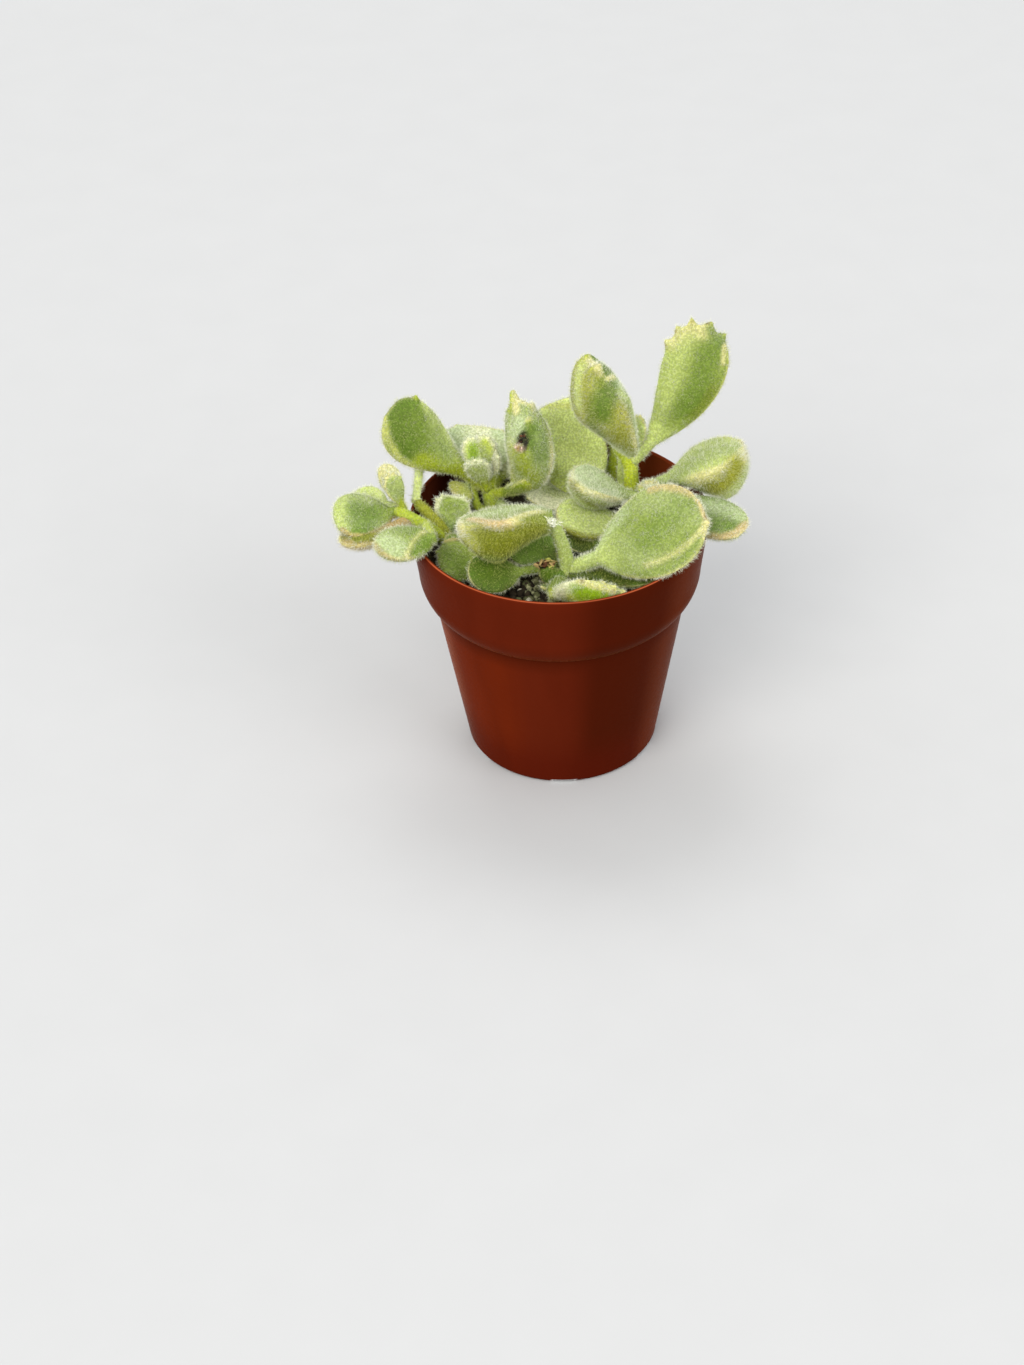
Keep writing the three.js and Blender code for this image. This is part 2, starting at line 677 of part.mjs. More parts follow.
function soilSolid() {
  const inset = POT.wall + GAP;
  const brink = SOIL.level - SOIL.brink;
  const wall = potOutline(inset).filter(([, height]) => height < brink);
  const [bandRadius, bandHeight] = wall.at(-1);
  const slope = (POT.lipRadius - inset - bandRadius) / (POT.height - bandHeight);
  const topRadius = bandRadius + slope * (brink - bandHeight);
  wall[0][1] += GAP;
  const rings = [...wall, [topRadius, brink]];
  const points = [new THREE.Vector3(0, 0, wall[0][1])];
  const angleOf = (j) => (2 * Math.PI * j) / SOIL.sides;
  const pushRing = (radius, heightAt) => {
    for (let j = 0; j < SOIL.sides; j++) {
      const x = radius * Math.cos(angleOf(j));
      const y = radius * Math.sin(angleOf(j));
      points.push(new THREE.Vector3(x, y, heightAt(x, y)));
    }
  };
  rings.forEach(([radius, z]) => pushRing(radius, () => z));
  for (let k = SOIL.rings; k > 0; k--) {
    pushRing((topRadius * k) / (SOIL.rings + 0.6), soilHeight);
  }
  points.push(new THREE.Vector3(0, 0, soilHeight(0, 0)));
  const ringCount = rings.length + SOIL.rings;
  const faces = [];
  for (let j = 0; j < SOIL.sides; j++) {
    const next = (j + 1) % SOIL.sides;
    faces.push([0, 1 + next, 1 + j]);
    for (let i = 0; i < ringCount - 1; i++) {
      const a = 1 + i * SOIL.sides;
      const b = a + SOIL.sides;
      faces.push([a + j, a + next, b + next], [a + j, b + next, b + j]);
    }
    const top = 1 + (ringCount - 1) * SOIL.sides;
    faces.push([top + j, top + next, points.length - 1]);
  }
  let soil = solidFrom(outward(points, faces));

  const draw = seeded(11);
  for (let i = 0; i < SOIL.crumbs; i++) {
    const patch = i % 3 > 0 ? SOIL.bare : { x: 0, y: 0, radius: 0.85 * topRadius };
    const distance = patch.radius * Math.sqrt(draw());
    const turn = 2 * Math.PI * draw();
    const x = patch.x + distance * Math.cos(turn);
    const y = patch.y + distance * Math.sin(turn);
    const size = THREE.MathUtils.lerp(...SOIL.crumbSize, draw());
    const crumb = new THREE.IcosahedronGeometry(size, 0);
    crumb.scale(1, 0.75 + 0.25 * draw(), 0.7).rotateZ(6 * draw()).rotateX(draw());
    crumb.translate(x, y, soilHeight(x, y));
    soil = soil.add(solidFrom(crumb));
  }
  for (const { root, holeRadius } of Object.values(STEMS)) {
    const foot = CANE_DEPTH - GAP;
    const height = POT.height - foot;
    const hole = new THREE.CylinderGeometry(holeRadius, holeRadius, height, 14);
    hole.rotateX(Math.PI / 2).translate(root[0], root[1], foot + height / 2);
    soil = soil.subtract(solidFrom(hole));
  }
  return soil;
}

// ---- The scene graph ---------------------------------------------------------------

function named(name, solid, colour, roughness) {
  const material = new THREE.MeshStandardMaterial({ color: colour, roughness, metalness: 0 });
  const mesh = new THREE.Mesh(geometryFrom(solid), material);
  mesh.name = name;
  return mesh;
}

const group = new THREE.Group();
group.add(named("pot", potSolid(), 0x6b2412, 0.35));
group.add(named("soil", soilSolid(), 0x2e2822, 0.95));
for (const [name, { colour, canes, leaves }] of Object.entries(STEMS)) {
  const pieces = [...canes.map(caneGeometry), ...Object.values(leaves).map(leafGeometry)];
  group.add(named(name, fuse(pieces.map(solidFrom)), colour, 0.8));
}

export default group;
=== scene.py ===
"""A potted, variegated bear's paw succulent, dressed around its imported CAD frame.

The CAD pot, soil and leafy stems are replaced by finer pieces of the same form. The leaves
get their colours, a coat of short hairs and their small blemishes. Lengths in the tables are
millimetres in the frame's own axes, and MM turns them into metres.
"""

import math

import bmesh
import bpy
import numpy as np
from mathutils import Matrix, Quaternion, Vector


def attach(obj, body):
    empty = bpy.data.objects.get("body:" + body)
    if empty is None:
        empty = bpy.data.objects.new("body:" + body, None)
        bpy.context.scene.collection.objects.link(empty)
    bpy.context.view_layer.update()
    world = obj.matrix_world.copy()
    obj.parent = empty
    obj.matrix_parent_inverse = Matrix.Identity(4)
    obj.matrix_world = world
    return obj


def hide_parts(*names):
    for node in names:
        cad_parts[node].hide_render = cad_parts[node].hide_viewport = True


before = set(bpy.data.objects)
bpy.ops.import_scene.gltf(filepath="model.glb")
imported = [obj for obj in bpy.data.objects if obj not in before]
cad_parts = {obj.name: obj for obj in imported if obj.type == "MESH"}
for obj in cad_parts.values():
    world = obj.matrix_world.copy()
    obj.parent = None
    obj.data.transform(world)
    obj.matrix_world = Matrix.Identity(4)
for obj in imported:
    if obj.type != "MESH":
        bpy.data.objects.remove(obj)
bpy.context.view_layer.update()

MM = 0.001

# ---- View ----

IMAGE = (1024, 1365)
FOCAL_PX = 2502.5
SENSOR = 36.0
AIM = (0, 0, 59)  # the middle of the pot's mouth
AIM_PIXEL = (558.8, 515.0)
DISTANCE = 552
ELEVATION = math.radians(34.6)
ROLL = math.radians(-1.06)
SKY = dict(colour=(0.96, 0.98, 1.0), strength=0.84)
LAMPS = (  # name, place and width in metres, power, colour
    ("key", (-1.7, -3.2, 3.4), 3.4, 165.0, (1, 0.98, 0.93)),
    ("fill", (3.0, -2.3, 2.6), 3.0, 62.0, (1, 1, 1)),
    ("top", (-0.5, 2.2, 4.2), 2.4, 60.0, (1, 1, 1)),
)
LAMP_AIM = (0, 0, 0.06)
FLOOR_REACH = 6.0  # metres


def srgb(red, green, blue):
    """A colour given as 0 to 255 screen values, in Blender's linear ones."""
    share = np.array([red, green, blue], float) / 255
    return np.where(share <= 0.04045, share / 12.92, ((share + 0.055) / 1.055) ** 2.4)


# ---- Pot and soil ----

# The pot's radii, heights and thicknesses, as in the CAD source. Its middle is the radius of the
# flat discs that close the underside and the floor.
POT = dict(
    height=59, lip=33, lip_round=0.3, wall=1.0, body_top=28.4, base=21.9, base_edge=1.4,
    floor=2.2, middle=11, band_foot=40.4, band_taper=1.5, shoulder=6.4, shoulder_turn=0.9,
    ledge=0.3, sides=168,
)
LIP_TURNS = (0, 0.52, 1.05, 1.57)  # from upright, around the rounded lip
EDGE_POINTS, SHOULDER_POINTS = 7, 15
BAND_DROP = 0.8  # how much higher the band starts inside, in walls
POT_COLOUR = srgb(90, 28, 11)
POT_LIT_LEFT = srgb(103, 32, 9)  # painted light: a lighter, warmer tone on the left of the body, where the light falls
POT_PAINTED_SHADE = srgb(68, 20, 6)  # painted shade: to the right of the front, and in a thin line under the band's step
# painted shade: the pot darkens towards its bottom
POT_LOW_SHADE = srgb(80, 19, 7)
POT_INSIDE = srgb(116, 50, 24)
POT_SHADE = srgb(44, 18, 10)
# painted highlight on the outer edge of the rounded lip
POT_LIP_HIGHLIGHT = srgb(196, 98, 60)
POT_EDGE_HIGHLIGHT = srgb(150, 72, 38)  # painted highlight along the far left and right edges
POT_STREAK_TONE = srgb(66, 16, 5)  # faint darker streaks down the wall
POT_CUT = srgb(80, 18, 4)  # in the drain holes
DRAIN = dict(count=6, hole=2.4, ring=14.5, groove=5, depth=0.9)
SOIL = dict(level=51, bump=0.9, brink=1.0, gap=0.3, sunk=0.3, rings=56, sides=120)
SOIL_DARK, SOIL_PALE, SOIL_GRIT = srgb(40, 32, 24), srgb(74, 66, 46), srgb(24, 19, 14)

CRUMBS = dict(count=420, size=(0.35, 1.15))
CRUMB_PATCHES = ((-7, -17, 8.5),) * 3 + ((0, 0, 27),) * 2  # x, y and radius, taken in turn
CRUMB_COLOURS = (srgb(52, 44, 32), srgb(98, 100, 66), srgb(150, 150, 112), srgb(196, 190, 168))
CRUMB_SHARES = (0.5, 0.3, 0.15, 0.05)

# ---- Leaf colours ----

CREAM = srgb(222, 214, 150)
BUTTER = srgb(206, 208, 116)
BLUSH = srgb(212, 184, 134)
LIME = srgb(172, 184, 38)
YOUNG = srgb(148, 182, 18)
CANE = srgb(188, 202, 56)
PALE = srgb(190, 203, 118)
LIGHT = srgb(214, 226, 142)
BRIGHT = srgb(226, 240, 64)
LEMON = srgb(236, 248, 156)
FROST = srgb(198, 211, 166)
WHITE = srgb(232, 232, 196)
MOSS = srgb(90, 118, 20)
MUSTARD = srgb(152, 154, 32)
STRAW = srgb(178, 180, 84)
SCORCH = srgb(30, 20, 12)
PINK = srgb(226, 196, 176)
FRESH = srgb(106, 134, 36)
SAGE = srgb(136, 154, 62)
MEADOW = srgb(150, 166, 74)
MIST = srgb(160, 174, 104)
SEA = srgb(120, 140, 70)
DEEP = srgb(78, 94, 16)
OLIVE = srgb(122, 128, 8)
TAN = srgb(176, 150, 96)
BROWN = srgb(92, 58, 34)

# ---- Stems and their leaves ----

# What a leaf is like unless its own entry says otherwise. Left, right and apex are widths of
# its pale margin, with left and right as seen by someone who faces the upper side with the apex
# up. Below is the share of them that shows on the lower side.
LEAF = dict(
    belly=0.6, arch=0.06, sweep=0, cup=0.12, stalk=0.22, fore=0.6, point=0.5, lopsided=0,
    teeth=((-0.84, 0.3), (1, 0.4), (0.84, 0.3)),
    hue=SAGE, shade=FRESH, under=SAGE, foot=LIME, rim=CREAM,
    left=0.0, right=0.0, apex=0.3, below=0.4,
)


def leaf(name, base, tip, face, width, thick=5.4, **traits):
    shape = dict(name=name, base=base, tip=tip, face=face, width=width, thick=thick)
    return {**LEAF, **shape, **traits}


def cane(radii, *path, hue=CANE):
    return dict(radii=radii, path=path, hue=hue)


DEPTH = 41  # where the stems start, in the soil
PAW = ((-0.8, 0.35), (-0.55, 0.3), (1, 0.45), (0.8, 0.35), (0.55, 0.3))  # a young leaf's teeth

STEMS = {
    "stem_left": [
        cane([1.6, 1.4, 1.1], (-22, -3.5, DEPTH), (-22.3, -3.6, 50), (-25.4, -2.6, 57),
             (-28.4, -0.5, 60), (-31.5, 2.6, 61.6), hue=MUSTARD),
        cane([1.5, 1.3, 1.2], (-25, -3.4, 55.2), (-29, -4.4, 59.6), (-32.5, -4.6, 62.4),
             (-35.8, -2.4, 63)),
        cane([1.1, 1.1], (-29, -4.4, 59.8), (-28.6, -9, 61.9), (-27.2, -13, 62.6)),
        leaf("leftmost", (-35.2, -2.4, 62.5), (-48.8, -6, 63.6), (0, -0.25, 1), 13, stalk=0.1,
             point=0.42, teeth=(), hue=FRESH, shade=MIST, under=TAN, left=0.8, right=0.4, apex=1.0,
             rim=PALE, foot=SAGE),
        leaf("under_leftmost", (-32.5, -4.6, 61.9), (-47.3, -12, 61.3), (0, 0.2, 1), 10, 3.5,
             teeth=(), hue=OLIVE, shade=TAN, foot=TAN, under=TAN, left=0.6, apex=0.5),
        leaf("over_rim", (-26.6, -13, 62.6), (-39.6, -16.6, 63.5), (0, -0.32, 1), 9, stalk=0.05,
             fore=0.5, teeth=(), hue=MIST, shade=SAGE, left=0.4, foot=SAGE),
        leaf("folded", (-33.7, -2.2, 62.7), (-38.2, 3, 71.2), (0.6, -0.7, 0.2), 5.4, 2.6, cup=0.4,
             teeth=(), hue=WHITE, shade=CREAM, left=0.6, right=0.3, apex=0.8),
        leaf("folded_front", (-33.4, -3.2, 62.6), (-36.6, -1.6, 71.6), (0.5, -0.8, 0.3), 4.4, 2.6,
             cup=0.3, teeth=PAW, hue=MIST, shade=PALE, left=0.3, apex=0.5),
        leaf("behind_folded", (-35.5, -1.5, 62.8), (-45, 4, 63.5), (0, 0, 1), 8, 3, teeth=(),
             hue=LEMON, shade=PALE, foot=PALE),
        leaf("leaning_back", (-31.5, 2.8, 61.5), (-30.4, 22.5, 67), (0, -0.3, 0.9), 8, stalk=0.5,
             neck=0.9, foot=LEMON),
        leaf("inside_rim", (-24.5, -3, 55.2), (-23, 4, 62), (0, -0.8, 0.6), 8, 3.5,
             teeth=((-0.8, 0.5), (-0.6, 0.5), (0.65, 0.4), (0.85, 0.5)), point=0.32, shade=MIST,
             left=1.2, right=0.3, apex=1.0, rim=WHITE, foot=SEA),
    ],
    "stem_mid_left": [
        cane([2.4, 2.2, 1.8], (-14, 12, DEPTH), (-14.2, 12, 50), (-15.5, 12, 59)),
        cane([1, 1, 0.9], (-14.4, 11.8, 52), (-18.2, 10.8, 54.4), (-19.4, 14.4, 59), hue=LIME),
        leaf("paddle", (-15.5, 12, 58.5), (-34.9, 11, 82), (0.1, -0.8, 0.5), 13.5, stalk=0.14,
             sweep=-0.035, lopsided=-0.28, fore=0.71, neck=1.6, teeth=((-0.85, 0.2), (0.7, 0.8)),
             hue=FRESH, shade=SAGE, left=0.5, right=0.2),
        leaf("scarred", (-10.5, 12, 57.5), (-9.8, 15, 80.6), (0.5, 0.7, 0.2), 11.4, 7.6, stalk=0.08,
             sweep=-0.22, fore=0.5, lopsided=-0.15, teeth=((-0.72, 0.7), (1, 2.3)), hue=MIST,
             under=MIST, shade=SEA, left=0.5, right=0.6, apex=0.6),
        leaf("under_scarred", (-14, 11, 57.5), (-3, 10, 63.6), (0, 0.5, 0.8), 7, 3.5, sweep=0.1,
             hue=BUTTER, shade=MUSTARD, under=LIME),
        # a pale leaf, coloured whiter still: painted light against the shade of the leaves around
        # it
        leaf("scalloped", (-19.2, 14.6, 58.8), (-17.4, 24, 67.2), (0, -0.7, 0.7), 16.5, stalk=0.15,
             point=0.36, teeth=((-0.8, 0.5), (-0.6, 0.5), (0.6, 0.6), (0.8, 0.5)), hue=WHITE,
             shade=FROST, foot=MIST),
        leaf("tucked", (-19.3, 14.4, 58.4), (-23.2, 11, 57.4), (0, -0.3, 1), 7, 3, hue=PALE,
             shade=STRAW, teeth=(), foot=MIST),
        # painted light: coloured near-white, paler than its own tone, against the shade it sits in
        # behind other leaves
        leaf("back_low", (-15, 13, 56.5), (-12, 28.8, 61.8), (0, -0.3, 0.9), 10.5, 4, hue=WHITE,
             shade=WHITE),
        leaf("back_left", (-16, 13, 58.2), (-24.5, 25, 64.4), (0, -0.2, 1), 10, 4),
        leaf("behind_boat", (-13.6, 11.4, 55), (-5, -2, 56.6), (0, -0.2, 1), 9, 3.5, hue=PALE,
             foot=MIST),
        leaf("bud_upper", (-16, 11.2, 59), (-19.6, 10.6, 72.4), (0.1, -0.8, 0.5), 4.6, 2.6,
             teeth=PAW, hue=BRIGHT, shade=LEMON, rim=WHITE, left=0.6, right=0.4, apex=0.6),
        leaf("bud_middle", (-15.4, 11.4, 59), (-16.2, 10.8, 73), (-0.2, -0.9, 0.3), 4.6, 2.6,
             teeth=PAW, hue=BRIGHT, shade=PALE, rim=WHITE, left=0.4, right=0.7, apex=0.8),
        leaf("bud_right", (-15, 11.4, 59), (-14.4, 11.2, 69.6), (-0.6, -0.7, 0.3), 3.8, 2.2,
             teeth=PAW, hue=WHITE, shade=WHITE, rim=WHITE, left=0.5, right=0.7, apex=0.8),
        leaf("bud_lower", (-16, 11, 58.5), (-18.4, 7.4, 68.6), (-0.1, -0.9, 0.3), 5.4, 2.6,
             point=0.36, teeth=PAW, hue=PALE, shade=PALE, rim=WHITE, left=0.6, right=0.6, apex=0.8),
    ],
    "stem_front": [
        cane([2.6, 2.6, 2.3], (0, -16, DEPTH), (0, -16, 51), (-1.2, -14.6, 55), hue=MOSS),
        cane([1.8, 1.5, 1.4], (0.3, -15, 52.5), (1.5, -14.6, 56), (0.4, -14.2, 62),
             (-1.7, -14.2, 67.4), hue=PALE),
        cane([1.7, 1.4], (0, -16.6, 53), (-0.8, -20, 54.4), (-1.6, -23.6, 55), hue=SAGE),
        cane([1.9, 2, 1.7], (-1.4, -15.8, 53.2), (-2.4, -15.9, 55), (-2.9, -16, 57.4), hue=MOSS),
        leaf("boat", (-1.6, -14.2, 67.2), (-21.6, -16, 68), (0, 0.33, 0.94), 13.6, 11, cup=0.25,
             arch=0, stalk=0.02, belly=0.8, fore=0.37, point=0.4, neck=2.6, teeth=(), hue=MIST,
             under=OLIVE, shade=SAGE, left=0.3, right=0.5, apex=1.4, foot=SAGE),
        leaf("broad", (1.8, -14.6, 54.7), (30.6, -18.4, 71.3), (0.1, -0.56, 0.82), 19.8, arch=0.01,
             neck=1.7, point=0.45, teeth=((0.93, 0.7),), hue=MIST, shade=SAGE, left=0.4, right=0.6,
             apex=0.6, foot=PALE),
        # painted shade: a dark DEEP green for the shade under the broad leaf, over its own green
        leaf("under_broad", (2, -15.5, 54.2), (24, -17, 56.5), (0, 0, 1), 10, 3.5, hue=DEEP,
             foot=DEEP),
        leaf("low_left", (-2.4, -14.2, 55.6), (-19.6, -19.3, 57), (0, -0.4, 0.9), 9.8, 4,
             stalk=0.34, teeth=(), neck=1, hue=DEEP, shade=MOSS, foot=SAGE, apex=0.15),
        leaf("shaded", (0.6, -13.8, 54.5), (-9, -7, 60.4), (0, -0.5, 0.85), 12, 3.5, hue=FRESH,
             foot=DEEP),
        leaf("behind_lip", (-2.2, -23.9, 55.2), (14, -25.7, 56), (0, 0.72, 0.69), 12.4, 5,
             belly=0.7, cup=0.3, stalk=0.05, fore=0.45, arch=0,
             teeth=((0.5, 0.5), (0.66, 0.6), (0.84, 0.6)), under=BRIGHT, left=0.6, right=0.6),
        leaf("sprout", (-1.4, -17.8, 52.8), (-3.6, -20.4, 54.2), (0, 0, 1), 2.6, 1.6),
    ],
    "stem_front_left": [
        cane([1.6, 1.5, 1.4], (-13, -7, DEPTH), (-13, -7, 50), (-13.5, -7.5, 54.5)),
        leaf("along_rim", (-13.6, -8.2, 55.2), (-26.4, -12, 55.1), (0, -0.55, 0.75), 10, 4,
             teeth=((0.8, 0.6),), shade=MEADOW, apex=0.15),
        leaf("behind_along_rim", (-13.6, -7.2, 53.8), (-25.2, -6, 57.4), (0, -0.3, 1), 5.2, 2.6,
             teeth=()),
    ],
    "stem_right": [
        cane([2.2, 2, 1.6], (17, 3, DEPTH), (17, 3, 50), (18.5, 5, 55), (20, 7.5, 59.8)),
        leaf("outer_upper", (20, 8, 60.6), (41.2, 10, 68.8), (0, 0.2, 1), 17.4, 13, arch=0,
             belly=0.72, point=0.4, teeth=((-0.86, 0.4),), hue=MIST, shade=PALE, right=0.8,
             apex=0.6, under=PALE, foot=MIST),
        leaf("outer_lower", (19.6, 6.4, 59.2), (39.4, -14.4, 63.7), (0, -0.3, 0.9), 11, 4.8,
             arch=-0.02, point=0.4, teeth=((0.9, 0.3),), hue=MIST, shade=SEA, foot=MIST),
        leaf("inner_upper", (19.6, 7, 58.6), (2.8, 4, 65.8), (0.05, 0.04, 1), 12.4, 6.5, cup=0.35,
             belly=0.75, teeth=(), hue=FROST, shade=MIST, under=PALE, right=0.3, left=0.7, apex=0.7,
             foot=MIST),
        # a pale leaf, coloured paler still: painted light against the shade of the leaves above it
        leaf("inner_lower", (18, 4, 54.8), (-0.5, 0, 58.6), (0, -0.25, 1), 12, 4.5, teeth=(),
             hue=LIGHT, shade=PALE, under=OLIVE, left=0.3, foot=MIST),
        leaf("inner_shaded", (17, 3, 54), (1, -5, 55), (0, -0.2, 1), 9, 3, hue=DEEP),
        leaf("tiny_left", (19.8, 7.4, 59), (18.6, 6.8, 62.2), (0.2, -0.8, 0.4), 3, 2, teeth=PAW,
             hue=WHITE, shade=PALE, foot=PALE),
        leaf("tiny_middle", (20, 7.4, 59), (20.1, 6.4, 63), (0, -0.8, 0.4), 3, 2, teeth=PAW,
             hue=PALE, shade=WHITE, foot=PALE),
        leaf("tiny_right", (20.2, 7.6, 59), (21.6, 6.6, 62.6), (-0.2, -0.8, 0.3), 3, 2, teeth=PAW,
             hue=WHITE, shade=PALE, foot=PALE),
    ],
    "stem_centre_right": [
        cane([1.9, 1.8, 1.6], (16.5, 14.5, DEPTH), (16.5, 14.5, 52), (16.2, 15, 64), hue=BRIGHT),
        cane([1.5, 1.5, 1.4], (16.3, 15, 61), (15.3, 15, 64), (13.2, 15, 67), hue=BRIGHT),
        cane([1.3, 1.3, 1.2], (16, 14.5, 53.4), (12, 14.6, 54), (8.2, 15.2, 55.4), hue=LIME),
        # painted light: this thin cane is a paler LEMON than its own yellow-green, against the
        # spoon leaf's shade
        cane([0.9, 0.8, 0.8], (15.4, 15.6, 53), (14.1, 17.2, 56.5), (14.3, 17, 61), (14.4, 16, 65),
             hue=LEMON),
        leaf("spoon", (13.9, 15, 66.8), (5.9, 17, 89.8), (0.83, 0.5, 0.23), 17.2, 12, stalk=0.02,
             sweep=-0.15, fore=0.42, point=0.72, lopsided=-0.2, belly=0.55, cup=0.02,
             teeth=((-0.86, 0.8), (-0.68, 1.2)), hue=SEA, under=STRAW, shade=FROST, left=0.4,
             apex=0.4, foot=LIGHT),
        # painted light: the crown's foot is a paler LEMON than its own yellow-green, against the
        # spoon leaf's shade on its petiole
        leaf("crown", (16.6, 15, 63), (31.8, 22.2, 93.3), (-0.15, -0.9, 0.3), 14.4, 6, stalk=0.12,
             sweep=0.085, fore=0.7, point=0.4, neck=1.5, lopsided=0.08,
             teeth=((-0.58, 1.2), (-0.74, 1), (-0.9, 1.3), (0.965, 1.3), (0.82, 1)), hue=MEADOW,
             shade=SAGE, left=0.5, apex=0.8, right=0.4, rim=BUTTER, foot=LEMON),
        # painted light: a lime leaf coloured near-white, against the shade it sits in
        leaf("between", (16.6, 15.6, 62.5), (18.3, 17.5, 73), (-0.8, -0.6, 0.2), 4.6, 2.4,
             teeth=PAW, hue=WHITE, shade=LEMON, under=WHITE),
        # painted light: the fan is coloured paler than its own green, against the shade of the
        # leaves around it
        leaf("fan", (8.2, 15.2, 54.6), (-0.4, 21.7, 74.6), (0.2, -0.75, 0.6), 17, stalk=0.06,
             sweep=-0.04, fore=0.55, point=0.3, teeth=(), hue=LEMON, shade=LEMON, left=0.7,
             right=0.6, rim=BUTTER, foot=LEMON),
        # painted light: a lime-green leaf coloured near-white, against the shade of the leaves
        # above it
        leaf("flat", (16, 14.5, 53.6), (-7.5, 13.6, 56.4), (0, -0.1, 1), 11, 4, hue=WHITE,
             shade=WHITE),
    ],
    "stem_back": [
        cane([1.3, 1.2, 1], (12, 21.5, DEPTH), (12, 21.8, 51), (13.2, 23, 64)),
        leaf("over_back_rim", (13, 23, 62), (11, 35, 67), (0, -0.4, 0.9), 10, 4.5),
        leaf("inside_back_rim", (12, 22.5, 55), (2, 29.2, 62), (0, -0.3, 0.9), 9, 4),
    ],
}
